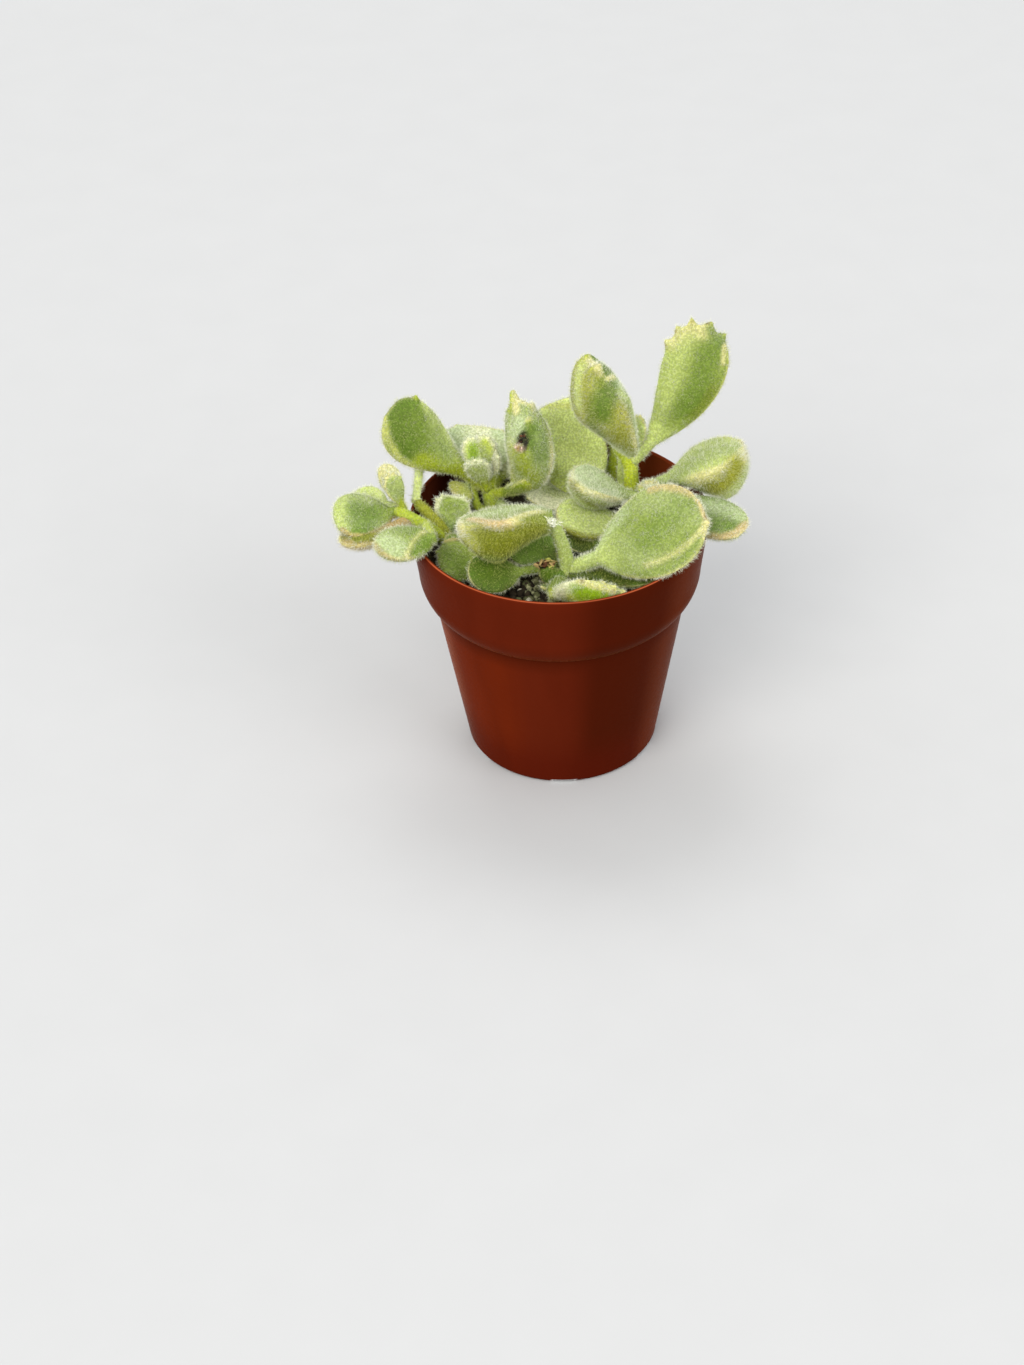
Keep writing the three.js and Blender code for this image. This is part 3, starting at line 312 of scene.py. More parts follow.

# Soft streaks and spots on single leaves. Each has its colour, its half width in millimetres,
# how much it covers and how far it raises the skin or, below 0, sinks it. Then come the pixels
# of the photo that its path runs through.
MARKS = {
    "crown": (
        (PALE, 2.6, 0.9, 0, (664, 352), (661, 380), (655, 408), (648, 432)),
        (PALE, 2.6, 0.75, 0, (676, 345), (672, 375), (664, 405)),
        (CREAM, 2.3, 0.75, 0, (672, 338), (684, 333), (700, 332)),
        (PALE, 2.2, 0.7, 0, (690, 345), (684, 360), (678, 380)),
        (SAGE, 1.8, 0.6, 0, (700, 350), (692, 372), (684, 395), (672, 418)),
        (FRESH, 2.4, 0.6, 0, (713, 348), (706, 368), (700, 386), (690, 402)),
        (MOSS, 1.6, 0.5, 0, (680, 412), (692, 410), (702, 398)),
        (SEA, 1.3, 0.8, 0, (712, 330), (718, 334), (724, 344)),
        (CREAM, 0.5, 0.8, 0.2, (725, 346), (724, 354), (723, 364)),
        (OLIVE, 1.1, 0.4, 0, (714, 388), (704, 404), (692, 418)),
        (BROWN, 0.45, 0.8, 0, (708, 323)),
        (TAN, 0.5, 0.8, 0, (661, 346)),
        (TAN, 0.45, 0.5, 0, (692, 322)),
        (TAN, 0.45, 0.6, 0, (675, 330)),
        # painted light: a pale streak along the crown's petiole, where the spoon leaf shades it
        (LEMON, 1.8, 0.9, 0, (652, 430), (646, 440), (640, 454)),
    ),
    "spoon": (
        (OLIVE, 1.3, 0.4, 0, (592, 374), (588, 392), (588, 412)),
        (MOSS, 2.3, 0.9, 0, (606, 384), (610, 398), (603, 412)),
        (MOSS, 1.7, 0.65, 0, (596, 400), (592, 424), (600, 436)),
        (MUSTARD, 2.3, 0.75, 0, (624, 414), (625, 430), (618, 442)),
        (CREAM, 0.8, 0.8, 0.2, (595, 363), (598, 370)),
        (MUSTARD, 1.0, 0.3, 0, (598, 374), (600, 384)),
        (CREAM, 0.6, 0.8, 0.2, (608, 379), (614, 377)),
        (LIGHT, 1.1, 0.6, 0, (582, 366), (577, 386), (579, 406)),
        (PALE, 1.3, 0.7, 0.2, (622, 394), (630, 402), (634, 414)),
        (LIME, 0.8, 0.8, 0, (586, 355)),
    ),
    "fan": (
        (LIGHT, 2.4, 0.9, 0, (548, 412), (568, 410), (582, 420)),
        (BUTTER, 0.8, 0.7, 0, (545, 406), (560, 405), (574, 406)),
        (PALE, 2.2, 0.5, 0, (560, 425), (575, 440), (590, 455)),
        (LIME, 1.6, 0.4, 0, (548, 462), (556, 480), (570, 489)),
    ),
    "scarred": (
        (LIME, 1.0, 0.8, 0, (511, 396), (510, 408)),
        (CREAM, 0.9, 0.9, 0.1, (516, 398), (516, 412)),
        (FROST, 2.0, 0.7, 0, (518, 425), (513, 440), (507, 455)),
        (CREAM, 0.7, 0.9, 0.3, (529, 421)),
        (LIME, 0.7, 0.7, 0, (529, 424), (530, 430)),
        # painted shade: the darker blue-green right part, past the fold's ridge
        (SEA, 1.8, 0.85, 0, (540, 413), (544, 435), (540, 456)),
        (MOSS, 1.5, 0.85, 0, (530, 430), (528, 445)),
        (BUTTER, 1.7, 0.6, 0, (512, 448), (508, 462), (511, 474)),
        (LIME, 2.0, 0.75, 0, (520, 454), (522, 468), (532, 476)),
        (SCORCH, 0.75, 1, -0.5, (524, 435), (519, 441)),
        (SCORCH, 0.5, 1, -0.3, (527, 440), (524, 449)),
        (PINK, 0.7, 0.9, 0.3, (517, 447), (521, 449)),
    ),
    "paddle": (
        (MOSS, 2.8, 0.75, 0, (402, 404), (394, 420), (396, 436), (406, 448)),
        (FRESH, 2.8, 0.5, 0, (415, 412), (415, 438)),
        (LIGHT, 1.5, 0.85, 0, (430, 402), (441, 420), (450, 440), (459, 458)),
        (LIME, 1.9, 0.8, 0, (420, 462), (438, 464), (455, 469), (468, 481)),
        (BUTTER, 0.8, 0.8, 0, (384, 420), (387, 438), (397, 456), (412, 468)),
        (LIME, 0.8, 0.8, 0, (418, 394)),
        (MIST, 2.2, 0.6, 0, (434, 412), (440, 438), (448, 456)),
    ),
    "scalloped": (
        (FROST, 3, 0.5, 0, (458, 435), (480, 445), (495, 455)),
    ),
    "outer_upper": (
        (MIST, 3, 0.75, 0, (700, 455), (720, 448)),
        (CREAM, 0.55, 0.6, 0.45, (742, 449), (733, 459), (720, 470), (704, 478), (692, 487)),
        (MUSTARD, 2.3, 1, -0.2, (738, 466), (727, 480), (712, 489)),
        (BUTTER, 1.2, 0.6, 0, (722, 437), (738, 438), (746, 448)),
        (TAN, 0.7, 0.6, 0, (745, 443), (747, 452)),
        (PALE, 1.6, 0.6, 0, (668, 470), (685, 455), (705, 442)),
    ),
    "outer_lower": (
        (FROST, 2, 0.5, 0, (705, 505), (725, 508), (740, 514)),
        (FRESH, 1.4, 0.7, 0, (712, 525), (730, 525)),
        (BLUSH, 0.8, 0.8, 0, (700, 536), (720, 537), (735, 533), (746, 524)),
    ),
    "broad": (
        (MIST, 2.2, 0.7, 0, (638, 500), (655, 495), (676, 500)),
        (BLUSH, 0.8, 0.7, 0.2, (650, 490), (662, 487), (676, 488), (690, 494)),
        (FROST, 1.8, 0.5, 0, (588, 550), (606, 532), (622, 512)),
        (FRESH, 2.6, 0.35, 0, (645, 540), (665, 520), (680, 505)),
        (BLUSH, 0.6, 0.6, 0.2, (699, 500), (704, 512), (707, 524)),
        (CREAM, 0.6, 0.6, 0.3, (702, 530), (692, 541), (678, 552), (662, 560), (645, 566)),
        (SAGE, 1.1, 0.6, 0, (700, 545), (685, 560), (665, 570), (640, 576)),
        (BROWN, 0.4, 0.7, 0, (706, 517)),
        (CREAM, 0.8, 0.9, 0.3, (706, 524), (704, 530)),
    ),
    "inner_upper": (
        (WHITE, 0.5, 0.6, 0.2, (568, 470), (577, 480), (590, 492), (606, 500), (622, 500)),
        (OLIVE, 1.0, 0.7, -0.1, (572, 484), (582, 498), (596, 506), (616, 508)),
        (FROST, 2, 0.5, 0, (592, 478), (610, 488)),
    ),
    "inner_lower": (
        (PALE, 2.5, 0.5, 0, (575, 512), (600, 516), (615, 525)),
        (MUSTARD, 0.9, 0.9, 0, (566, 531), (580, 537), (600, 539)),
    ),
    "boat": (
        (OLIVE, 4.2, 1, 0, (490, 538), (510, 543), (532, 534)),
        (OLIVE, 2.4, 0.8, 0, (476, 545), (495, 555), (520, 553)),
        (STRAW, 1.6, 0.8, 0, (463, 528), (468, 536), (473, 546)),
        (CREAM, 0.9, 0.8, 0, (459, 524), (463, 530)),
        (BLUSH, 1.1, 0.85, 0.25, (470, 519), (482, 521), (496, 524), (510, 521)),
        (CREAM, 1.0, 0.8, 0.3, (512, 520), (526, 514), (540, 511)),
        (FROST, 1.6, 0.4, 0, (485, 514), (510, 509), (530, 507)),
        (FRESH, 1.2, 0.5, 0, (488, 558), (510, 558), (528, 551)),
    ),
    "along_rim": (
        (MOSS, 2.4, 0.7, 0, (450, 558), (462, 568)),
        (CREAM, 0.5, 0.8, 0.2, (443, 539), (450, 534), (458, 532), (464, 535)),
        # painted shadow: a thin darker line under the pale edge of the leaf behind
        (TAN, 0.6, 0.5, 0, (446, 541), (454, 538), (461, 540)),
    ),
    "behind_lip": (
        (WHITE, 2.0, 0.9, 0, (557, 592), (564, 583), (573, 585)),
        (YOUNG, 2.3, 1, 0, (582, 593), (596, 595), (608, 598)),
        (CREAM, 0.7, 0.8, 0.2, (578, 580), (590, 585), (602, 588), (614, 592)),
        (BROWN, 0.35, 0.7, 0, (582, 581)),
        (BROWN, 0.35, 0.5, 0, (613, 590)),
    ),
    "leftmost": (
        (PALE, 2.0, 0.8, 0, (337, 500), (338, 515), (342, 527)),
        (MOSS, 2.2, 0.5, 0, (358, 508), (372, 514)),
        (SEA, 1.6, 0.5, 0, (352, 520), (368, 526)),
        (TAN, 0.55, 0.8, 0.3, (342, 530), (352, 536), (368, 536), (384, 528), (396, 518)),
    ),
    "under_leftmost": (
        (TAN, 0.8, 0.6, 0, (344, 541), (356, 547), (370, 543)),
    ),
    "over_rim": (
        (FROST, 2.2, 0.6, 0, (384, 542), (398, 548)),
        (CREAM, 0.6, 0.7, 0.4, (424, 532), (414, 542), (407, 555)),
        (FRESH, 1.5, 0.8, 0, (425, 541), (417, 552)),
        (TAN, 0.7, 0.6, 0, (375, 546), (384, 555), (398, 561)),
        (SEA, 1.5, 0.5, 0, (398, 530), (412, 530)),
    ),
    "low_left": (
        (MOSS, 3, 0.6, 0, (490, 575), (500, 568)),
    ),
    "flat": (
        (PALE, 1.6, 0.7, 0, (540, 486), (560, 494), (580, 498)),
    ),
    "under_scarred": (
        (MOSS, 1.2, 0.7, 0, (505, 492), (520, 488)),
    ),
    "bud_upper": (
        (YOUNG, 1.2, 0.9, 0, (474, 448), (473, 456)),
    ),
}

# The fine form of a leaf, as in the CAD source.
PETIOLE = dict(radius=1.3, share=0.14, long=0.3, ribs=(5, 9))
TOOTH_LEAN = 0.35
RIB_SLANT = 0.24
APEX_THINNING = 0.3
SWELLING = 1.6  # how soon the petiole reaches the blade's thickness
BASE_CAP = 0.3  # how far a closing point stands out, in radii of a leaf's base or millimetres
CUP_LIMIT = 1.3
TOOTH_HALF = 0.055  # half the foot of a tooth, as a share of the way round half the outline
TOOTH_TAPER = 1.15
TOOTH_FROM = 0.72  # where a tooth starts to stand out, from the rib at 0 to the margin at 1
UPPER_CREASE = 1.35  # above 1 the upper side meets the margin at an edge
LOWER_CREASE = 0.95
SMALL_HALF = 4  # up to this half width a leaf has the second, coarser number of these
RING = (60, 36)  # points around a leaf
NEAR_RIBS, FAR_RIBS = (14, 9), (40, 26)  # ribs in the lower and the upper half of a blade
WAVE = dict(height=0.05, length=5.0)  # slow unevenness of the thickness
CANE_SIDES = 18
CANE_STEPS = 12  # along each stretch of a cane's path
BARK = dict(height=0.07, length=2.4)  # unevenness of a cane

SLOW, QUICK = 6.0, 1.7  # lengths of the noise in the leaves' colours
QUICK_SHIFT = 40
MARK = dict(reach=1.75, ragged=0.2, fade=1.4, lift_reach=1.2)  # shares of a mark's half width
# A mark's pixel is placed among the nearest few spots of skin that face the camera by at least
# this cosine. Soft and off are pixels, and layer is how far apart in depth they may be.
NEAREST = dict(facing=0.02, count=4, soft=0.3, off=3, layer=1.5)
HAIRS_PER_MM2 = 8.8
HAIR = dict(length=0.82, radius=0.042, spread=0.42, forward=0.3, swirl=0.3, sunk=0.06)
FRINGE = dict(width=1.2, inside=0.62, more=0.5)  # how thick the coat of hairs is on a leaf
CANE_HAIR = 0.55  # and on a cane
DOWN = srgb(251, 252, 232)  # the colour of the hairs, over the skin they stand on
DOWN_VIVID = srgb(246, 248, 140)  # and over the most vivid skin
DOWN_SKIN = (0.004, 0.05)  # from vivid to pale skin, by its blue value, for the hairs' colour
DOWN_REACH = (0.01, 0.3)  # and for their share
DOWN_SHARE = (0.56, 0.9)  # on vivid skin and on pale

# Small dry bits: colours, how many, where, how far they scatter, and their size.
SCALES = {
    "bare_node_scales": (
        ((TAN, TAN, STRAW, BROWN), 26, (-3.1, -16.7, 57.9), (0.8, 0.5, 0.4), (0.9, 0.4, 0.1)),
        ((BROWN, SCORCH), 10, (-3.6, -17.0, 57.6), (0.7, 0.3, 0.3), (0.6, 0.3, 0.1)),
    ),
    "scar_scales": (
        ((PINK, TAN), 7, (-8.5, 5.0, 73.5), (0.4, 0.15, 0.2), (0.5, 0.3, 0.12)),
        ((SCORCH, BROWN), 7, (-7.7, 5.7, 75.4), (0.3, 0.12, 0.55), (0.45, 0.25, 0.12)),
    ),
    "boat_tuft": (((DOWN,), 110, (-1.9, -18.0, 69.5), (0.9, 0.35, 0.5), (0.5, 0.06, 0.06)),),
}


# ---- Small mathematics ----


def smooth(x):
    x = np.clip(x, 0, 1)
    return x * x * (3 - 2 * x)


def unit(v):
    v = np.asarray(v, float)
    return v / np.linalg.norm(v, axis=-1, keepdims=True)


def blend(a, b, share):
    return a + (b - a) * np.asarray(share)[..., None]


def turns(count):
    return 2 * math.pi * np.arange(count) / count


LATTICE = np.random.default_rng(7).uniform(-1, 1, (32, 32, 32))


def noise(points, length):
    """Smooth noise from -1 to 1 at points in millimetres, with cells of that length."""
    place = np.asarray(points, float) / length + 1000
    cell = np.floor(place).astype(int)
    part = smooth(place - cell)
    total = np.zeros(len(place))
    for corner in np.ndindex(2, 2, 2):
        index = tuple(((cell + corner) % len(LATTICE)).T)
        total += np.prod(np.where(corner, part, 1 - part), axis=1) * LATTICE[index]
    return total


# ---- Meshes ----


def vertex_normals(points, quads):
    a, b, c, d = (points[quads[:, k]] for k in range(4))
    across = np.cross(c - a, d - b)
    normals = np.zeros_like(points)
    for k in range(4):
        np.add.at(normals, quads[:, k], across)
    return normals / np.maximum(np.linalg.norm(normals, axis=1, keepdims=True), 1e-12)


def wall_quads(index):
    """The quads between closed rings, whose point numbers are the rows of index."""
    near, far = index[:-1], index[1:]
    quads = np.stack([near, np.roll(near, -1, 1), np.roll(far, -1, 1), far], axis=-1)
    return quads.reshape(-1, 4)


def fan_quads(centre, loop):
    """The quads that close a ring with an even number of points around a centre point."""
    centres = np.full(len(loop) // 2, centre)
    return np.stack([centres, loop[::2], loop[1::2], np.roll(loop, -2)[::2]], axis=1)


def tube_quads(rows, sides):
    """The quads of a tube of rings that two more points close, one at each end."""
    index = np.arange(rows * sides).reshape(rows, sides)
    ends = fan_quads(index.size, index[0][::-1]), fan_quads(index.size + 1, index[-1])
    return np.concatenate([wall_quads(index), *ends])


def lathe(profile, sides):
    """Points on rings around the axis, from pairs of radius and height."""
    profile = np.array(profile)
    x, y = profile[:, :1] * np.cos(turns(sides)), profile[:, :1] * np.sin(turns(sides))
    return np.stack([x, y, np.broadcast_to(profile[:, 1:], x.shape)], axis=-1).reshape(-1, 3)


def outward(points, quads):
    a, b, c, d = (points[quads[:, k]] for k in range(4))
    volume = np.einsum("ij,ij->i", a, np.cross(b, c) + np.cross(c, d)).sum()
    return quads[:, ::-1] if volume < 0 else quads


def add_tint(mesh, rgba_rows):
    layer = mesh.attributes.new("tint", "FLOAT_COLOR", "POINT")
    layer.data.foreach_set("color", rgba_rows.astype(np.float32).ravel())


def link(name, data):
    """A new object in the scene that holds the data."""
    thing = bpy.data.objects.new(name, data)
    bpy.context.scene.collection.objects.link(thing)
    return thing


def make_piece(name, points, faces, material, colours):
    """A mesh object from points in millimetres and equal-sided faces, riding on the frame."""
    mesh = bpy.data.meshes.new(name)
    mesh.vertices.add(len(points))
    mesh.vertices.foreach_set("co", (np.asarray(points) * MM).astype(np.float32).ravel())
    mesh.loops.add(faces.size)
    mesh.loops.foreach_set("vertex_index", faces.astype(np.int32).ravel())
    mesh.polygons.add(len(faces))
    starts = np.arange(0, faces.size, faces.shape[1], dtype=np.int32)
    mesh.polygons.foreach_set("loop_start", starts)
    mesh.update(calc_edges=True)
    mesh.validate()
    add_tint(mesh, np.column_stack([colours, np.ones(len(colours))]))
    mesh.shade_smooth()
    mesh.materials.append(material)
    piece = link(name, mesh)
    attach(piece, "root")
    return piece


class Shell:
    """Gathers closed tubes of quads, with a colour, a forward direction and a hair share
    at each point."""

    def __init__(self):
        self.parts, self.count = [], 0

    def add(self, points, quads, colours, forward, hair):
        forward = np.broadcast_to(forward, points.shape)
        hair = np.broadcast_to(hair, len(points))
        self.parts.append((points, quads + self.count, colours, forward, hair))
        self.count += len(points)

    def arrays(self):
        return [np.concatenate(part) for part in zip(*self.parts)]


# ---- Leaves ----


def tooth_spikes(traits, taus):
    """How far the margin stands out at each station: one row for the left, one for the right."""
    spikes = np.zeros((2, len(taus)))
    for place, size in traits["teeth"]:
        away = np.abs(taus - abs(place)) / TOOTH_HALF
        spike = size * np.clip(1 - away, 0, 1) ** TOOTH_TAPER
        for row in (0, 1) if abs(place) == 1 else (int(place > 0),):
            spikes[row] = np.maximum(spikes[row], spike)
    return spikes


def leaf_ribs(traits, radius):
    """The ribs of a leaf from its base to its apex: how far along the blade each one is, where
    it meets the margin and the midrib as shares of the length, and how far the margin and the
    teeth stand out on the left and the right."""
    half, stalk, fore, point = (traits[key] for key in ("width", "stalk", "fore", "point"))
    half = half / 2
    rise = point * fore / (1 - fore)
    peak = fore**rise * (1 - fore) ** point
    near, far = (count[half <= SMALL_HALF] for count in (NEAR_RIBS, FAR_RIBS))
    taus = np.concatenate([np.linspace(0, 0.5, near, endpoint=False), np.linspace(0.5, 1, far)])
    xi = np.sin(math.pi * taus / 2)
    xi[-1] = 1
    spread = xi**rise * (1 - xi) ** point / peak
    stalk_part = radius * np.sqrt(1 - xi) * (1 - APEX_THINNING * xi)
    halves = half * (1 + traits["lopsided"] * np.array([-1, 1]))[:, None]
    wide = np.cbrt((halves * spread) ** 3 + stalk_part**3)
    ribs = PETIOLE["ribs"][stalk >= PETIOLE["long"]]
    petiole = np.linspace(0, 1, ribs, endpoint=False)
    bare = np.zeros((2, len(petiole)))
    reach = np.concatenate([stalk * petiole, stalk + (1 - stalk) * xi])
    slanted = stalk + (1 - stalk) * xi * (1 - RIB_SLANT * xi**3)
    foot = np.concatenate([stalk * petiole, slanted])
    wide = np.concatenate([bare + radius, wide], axis=1)
    tooth = np.concatenate([bare, tooth_spikes(traits, taus)], axis=1)
    return np.concatenate([bare[0], xi]), reach, foot, wide, tooth


def leaf_quads(rows, ring):
    """The quads of a leaf. Its last rib is one line in the middle plane, so the two halves of
    that rib share points. One more point closes the base."""
    index = np.arange(rows * ring).reshape(rows, ring)
    mirrored = (ring - np.arange(ring)) % ring
    beyond = np.arange(ring) > ring // 2
    index[-1, beyond] = index[-1, mirrored[beyond]]
    start = index[0]
    fan = fan_quads(index.size, start)[:, [0, 3, 2, 1]]
    return np.concatenate([wall_quads(index), fan])


def leaf_shell(shell, traits):
    """Adds one leaf: a petiole that widens into a thick, toothed blade."""
    radius = traits.get("neck", min(PETIOLE["radius"], PETIOLE["share"] * traits["width"]))
    half = traits["width"] / 2
    base = np.array(traits["base"], float)
    chord = np.array(traits["tip"], float) - base
    length = np.linalg.norm(chord)
    along = chord / length
    up = np.array(traits["face"], float)
    up = unit(up - up.dot(along) * along)
    across = np.cross(along, up)

    xi, reach, foot, wide, tooth = leaf_ribs(traits, radius)
    rows = len(xi)
    s = foot[:, None]
    lift, bow = traits["arch"] * length, traits["sweep"] * length
    middle = (
        base + along * s * length - up * 4 * s * (1 - s) * lift + across * 4 * s * (1 - s) * bow
    )
    forward = unit(along * length - up * 4 * (1 - 2 * s) * lift + across * 4 * (1 - 2 * s) * bow)
    sideways = unit(np.cross(forward, up))
    normal = np.cross(sideways, forward)

    eased = smooth(xi * SWELLING)
    thick = (1 - APEX_THINNING * xi**4) * (2 * radius + (traits["thick"] - 2 * radius) * eased)
    below = 0.5 + (traits["belly"] - 0.5) * eased

    ring = RING[half <= SMALL_HALF]
    v, w = np.sin(turns(ring)), np.cos(turns(ring))
    side = np.sign(np.round(v, 9))
    share = np.abs(v)
    is_upper = w >= 0
    bulge = np.where(is_upper, np.abs(w) ** UPPER_CREASE, -np.abs(w) ** LOWER_CREASE)

    run = ((reach - foot) * length)[:, None]
    is_right = (side > 0).astype(int)
    wide, spike = wide[is_right].T, tooth[is_right].T
    run_length = np.maximum(np.hypot(run, wide), 1e-9)
    spike = spike * smooth((share - TOOTH_FROM) / (1 - TOOTH_FROM))
    lean = np.full((rows, 1), TOOTH_LEAN)
    lean[-1] = 0
    x = run * share + spike * (run / run_length + lean)
    y = (wide * share + spike * wide / run_length) * side
    cup = traits["cup"] * half * np.minimum(CUP_LIMIT, np.abs(y) / half) ** 2
    part = np.where(is_upper, (1 - below)[:, None], below[:, None])
    flat = middle[:, None] + forward[:, None] * x[..., None] + sideways[:, None] * y[..., None]
    flat = flat + normal[:, None] * cup[..., None]
    wave = noise(flat.reshape(-1, 3), WAVE["length"]).reshape(rows, ring)
    height = thick[:, None] * part * bulge[None] * (1 + WAVE["height"] * wave)
    points = (flat + normal[:, None] * height[..., None]).reshape(-1, 3)

    # The margin is this many millimetres away, measured flat along the rib.
    margin = (run_length * (1 - share)).ravel()
    v, w, xi = np.tile(v, rows), np.tile(w, rows), xi.repeat(ring)
    colours = leaf_colours(traits, points, v, w, margin, xi)
    points = np.concatenate([points, base[None] - along * BASE_CAP * radius])
    colours = np.concatenate([colours, colours[:1]])
    quads = leaf_quads(rows, ring)
    used, numbers = np.unique(quads, return_inverse=True)
    quads = numbers.reshape(quads.shape)
    points, colours = points[used], colours[used]
    near_margin = smooth(1 - np.append(margin, 1)[used] / FRINGE["width"])
    hair = FRINGE["inside"] + FRINGE["more"] * near_margin
    quads = outward(points, quads)
    points, colours = draw_marks(points, quads, colours, MARKS.get(traits["name"], ()))
    shell.add(points, quads, colours, along, hair)


def photo_view():
    """The camera's place in millimetres, and its right, up and ahead, as in build_camera."""
    right, rise = np.array([1, 0, 0]), np.array([0, math.sin(ELEVATION), math.cos(ELEVATION)])
    ahead = np.array([0, math.cos(ELEVATION), -math.sin(ELEVATION)])
    c, s = math.cos(ROLL), math.sin(ROLL)
    level = np.stack([c * right + s * rise, c * rise - s * right, ahead])
    x, y = ((AIM_PIXEL[k] - IMAGE[k] / 2) / FOCAL_PX for k in range(2))
    x, y, z = unit((x, -y, 1))
    swing = np.array([[0, 0, x], [0, 0, y], [-x, -y, 0]])
    axes = (np.eye(3) + swing + swing @ swing / (1 + z)) @ level
    return np.array(AIM) - ahead * DISTANCE, axes


def visible_skin(points, quads):
    """The spots of a leaf that face the camera: its points and the middles of its quads, with
    their pixels in the photo and how far ahead of the camera they are."""
    eye, axes = photo_view()
    a, b, c, d = (points[quads[:, k]] for k in range(4))
    spots = np.concatenate([points, points[quads].mean(1)])
    normals = np.concatenate([vertex_normals(points, quads), unit(np.cross(c - a, d - b) + 1e-12)])
    spots = spots[(normals * unit(eye - spots)).sum(1) > NEAREST["facing"]]
    x, y, ahead = ((spots - eye) @ axes.T).T
    pixels = np.array(IMAGE) / 2 + FOCAL_PX * np.stack([x, -y], axis=1) / ahead[:, None]
    return spots, pixels, ahead


def on_skin(skin, pixel):
    """The place on a leaf that shows at a pixel, to a tenth of a millimetre."""
    spots, pixels, ahead = skin
    away = np.hypot(*(pixels - pixel).T)
    near = np.argsort(away)[: NEAREST["count"]]
    if away[near[0]] > NEAREST["off"]:
        return spots[near[0]].round(1)
    is_same_layer = np.abs(ahead[near] - ahead[near[0]]) < NEAREST["layer"]
    share = is_same_layer / (away[near] + NEAREST["soft"])
    return (spots[near] * (share / share.sum())[:, None]).sum(0).round(1)


def path_distance(points, path):
    """How far each point is from a path of straight stretches."""
    if len(path) == 1:
        return np.linalg.norm(points - path[0], axis=1)
    nearest = np.full(len(points), np.inf)
    for a, b in zip(path[:-1], path[1:]):
        share = np.clip((points - a) @ (b - a) / (b - a).dot(b - a), 0, 1)
        away = np.linalg.norm(points - a - share[:, None] * (b - a), axis=1)
        nearest = np.minimum(nearest, away)
    return nearest


def draw_marks(points, quads, colours, marks):
    """Tints a leaf along its marks, and raises or sinks its skin there."""
    normals = vertex_normals(points, quads)
    raised = points.copy()
    quick = noise(points + QUICK_SHIFT, QUICK)
    skin = visible_skin(points, quads) if marks else ()
    for colour, radius, strength, lift, *path in marks:
        path = np.array([on_skin(skin, pixel) for pixel in path])
        away = path_distance(points, path) / radius
        weight = smooth((MARK["reach"] - away + MARK["ragged"] * quick) / MARK["fade"])
        colours = blend(colours, colour, weight * strength)
        raised += normals * (lift * smooth(MARK["lift_reach"] - away))[:, None]
    return raised, colours


def leaf_colours(traits, points, across, up, margin, xi):
    """Variegated colour: greens in the middle, pale margins, a yellow-green foot. Across goes
    from -1 on the left to 1 on the right, and up from -1 on the lower side to 1 on the upper."""
    slow, quick = noise(points, SLOW), noise(points + QUICK_SHIFT, QUICK)
    upper = smooth(up * 3 + 0.5)
    middle = blend(traits["hue"], traits["shade"], smooth(0.5 + 0.75 * slow + 0.25 * quick))
    lower = blend(traits["under"], traits["hue"], 0.25 * smooth(0.5 + slow))
    colour = blend(lower, middle, upper)
    side_width = np.where(across > 0, traits["right"], traits["left"])
    width = side_width + (traits["apex"] - side_width) * smooth((xi - 0.8) / 0.2)
    width = width * (traits["below"] + (1 - traits["below"]) * upper)
    pale = smooth(1.15 - 0.8 * margin / (width * (1 + 0.5 * slow + 0.35 * quick) + 0.01))
    pale *= smooth((xi - 0.05) / 0.3)
    colour = blend(colour, traits["rim"], 0.85 * pale)
    return blend(colour, traits["foot"], 1 - smooth((xi - 0.02) / 0.3))


# ---- Canes ----


def spline(path, steps):
    """A Catmull-Rom curve through the path's points."""
    path = np.array(path, float)
    padded = np.concatenate([[2 * path[0] - path[1]], path, [2 * path[-1] - path[-2]]])
    points = []
    for k in range(len(path) - 1):
        a, b, c, d = padded[k : k + 4]
        t = np.linspace(0, 1, steps, endpoint=k == len(path) - 2)[:, None]
        bend = (2 * a - 5 * b + 4 * c - d) * t**2 + (3 * b - a - 3 * c + d) * t**3
        points.append(0.5 * (2 * b + (c - a) * t + bend))
    return np.concatenate(points)


def cane_shell(shell, traits):
    """Adds one cane: a tube along a curve, domed at its upper end."""
    centre = spline(traits["path"], CANE_STEPS)
    rows = len(centre)
    share = np.linspace(0, len(traits["radii"]) - 1, rows)
    radius = np.interp(share, range(len(traits["radii"])), traits["radii"])
    tangent = unit(np.gradient(centre, axis=0))
    first = unit(np.cross(tangent, (0.31, -0.92, 0.23)))
    second = np.cross(tangent, first)
    turn = turns(CANE_SIDES)[None, :, None]
    ring = np.cos(turn) * first[:, None] + np.sin(turn) * second[:, None]
    dome = np.sqrt(np.clip(1 - (np.clip(np.arange(rows) - rows + 4, 0, 3) / 3.2) ** 2, 0.05, 1))
    points = centre[:, None] + ring * (radius * dome)[:, None, None]
    uneven = noise(points.reshape(-1, 3), BARK["length"]).reshape(rows, CANE_SIDES)
    points = (points + ring * (BARK["height"] * uneven)[..., None]).reshape(-1, 3)
    points = np.concatenate([points, centre[:1], centre[-1:] + tangent[-1:] * BASE_CAP])
    colours = blend(traits["hue"], SAGE, 0.35 * smooth(0.4 + 0.6 * noise(points, 3.5)))
    quads = outward(points, tube_quads(rows, CANE_SIDES))
    shell.add(points, quads, colours, (0, 0, 1), CANE_HAIR)


# ---- Hairs ----


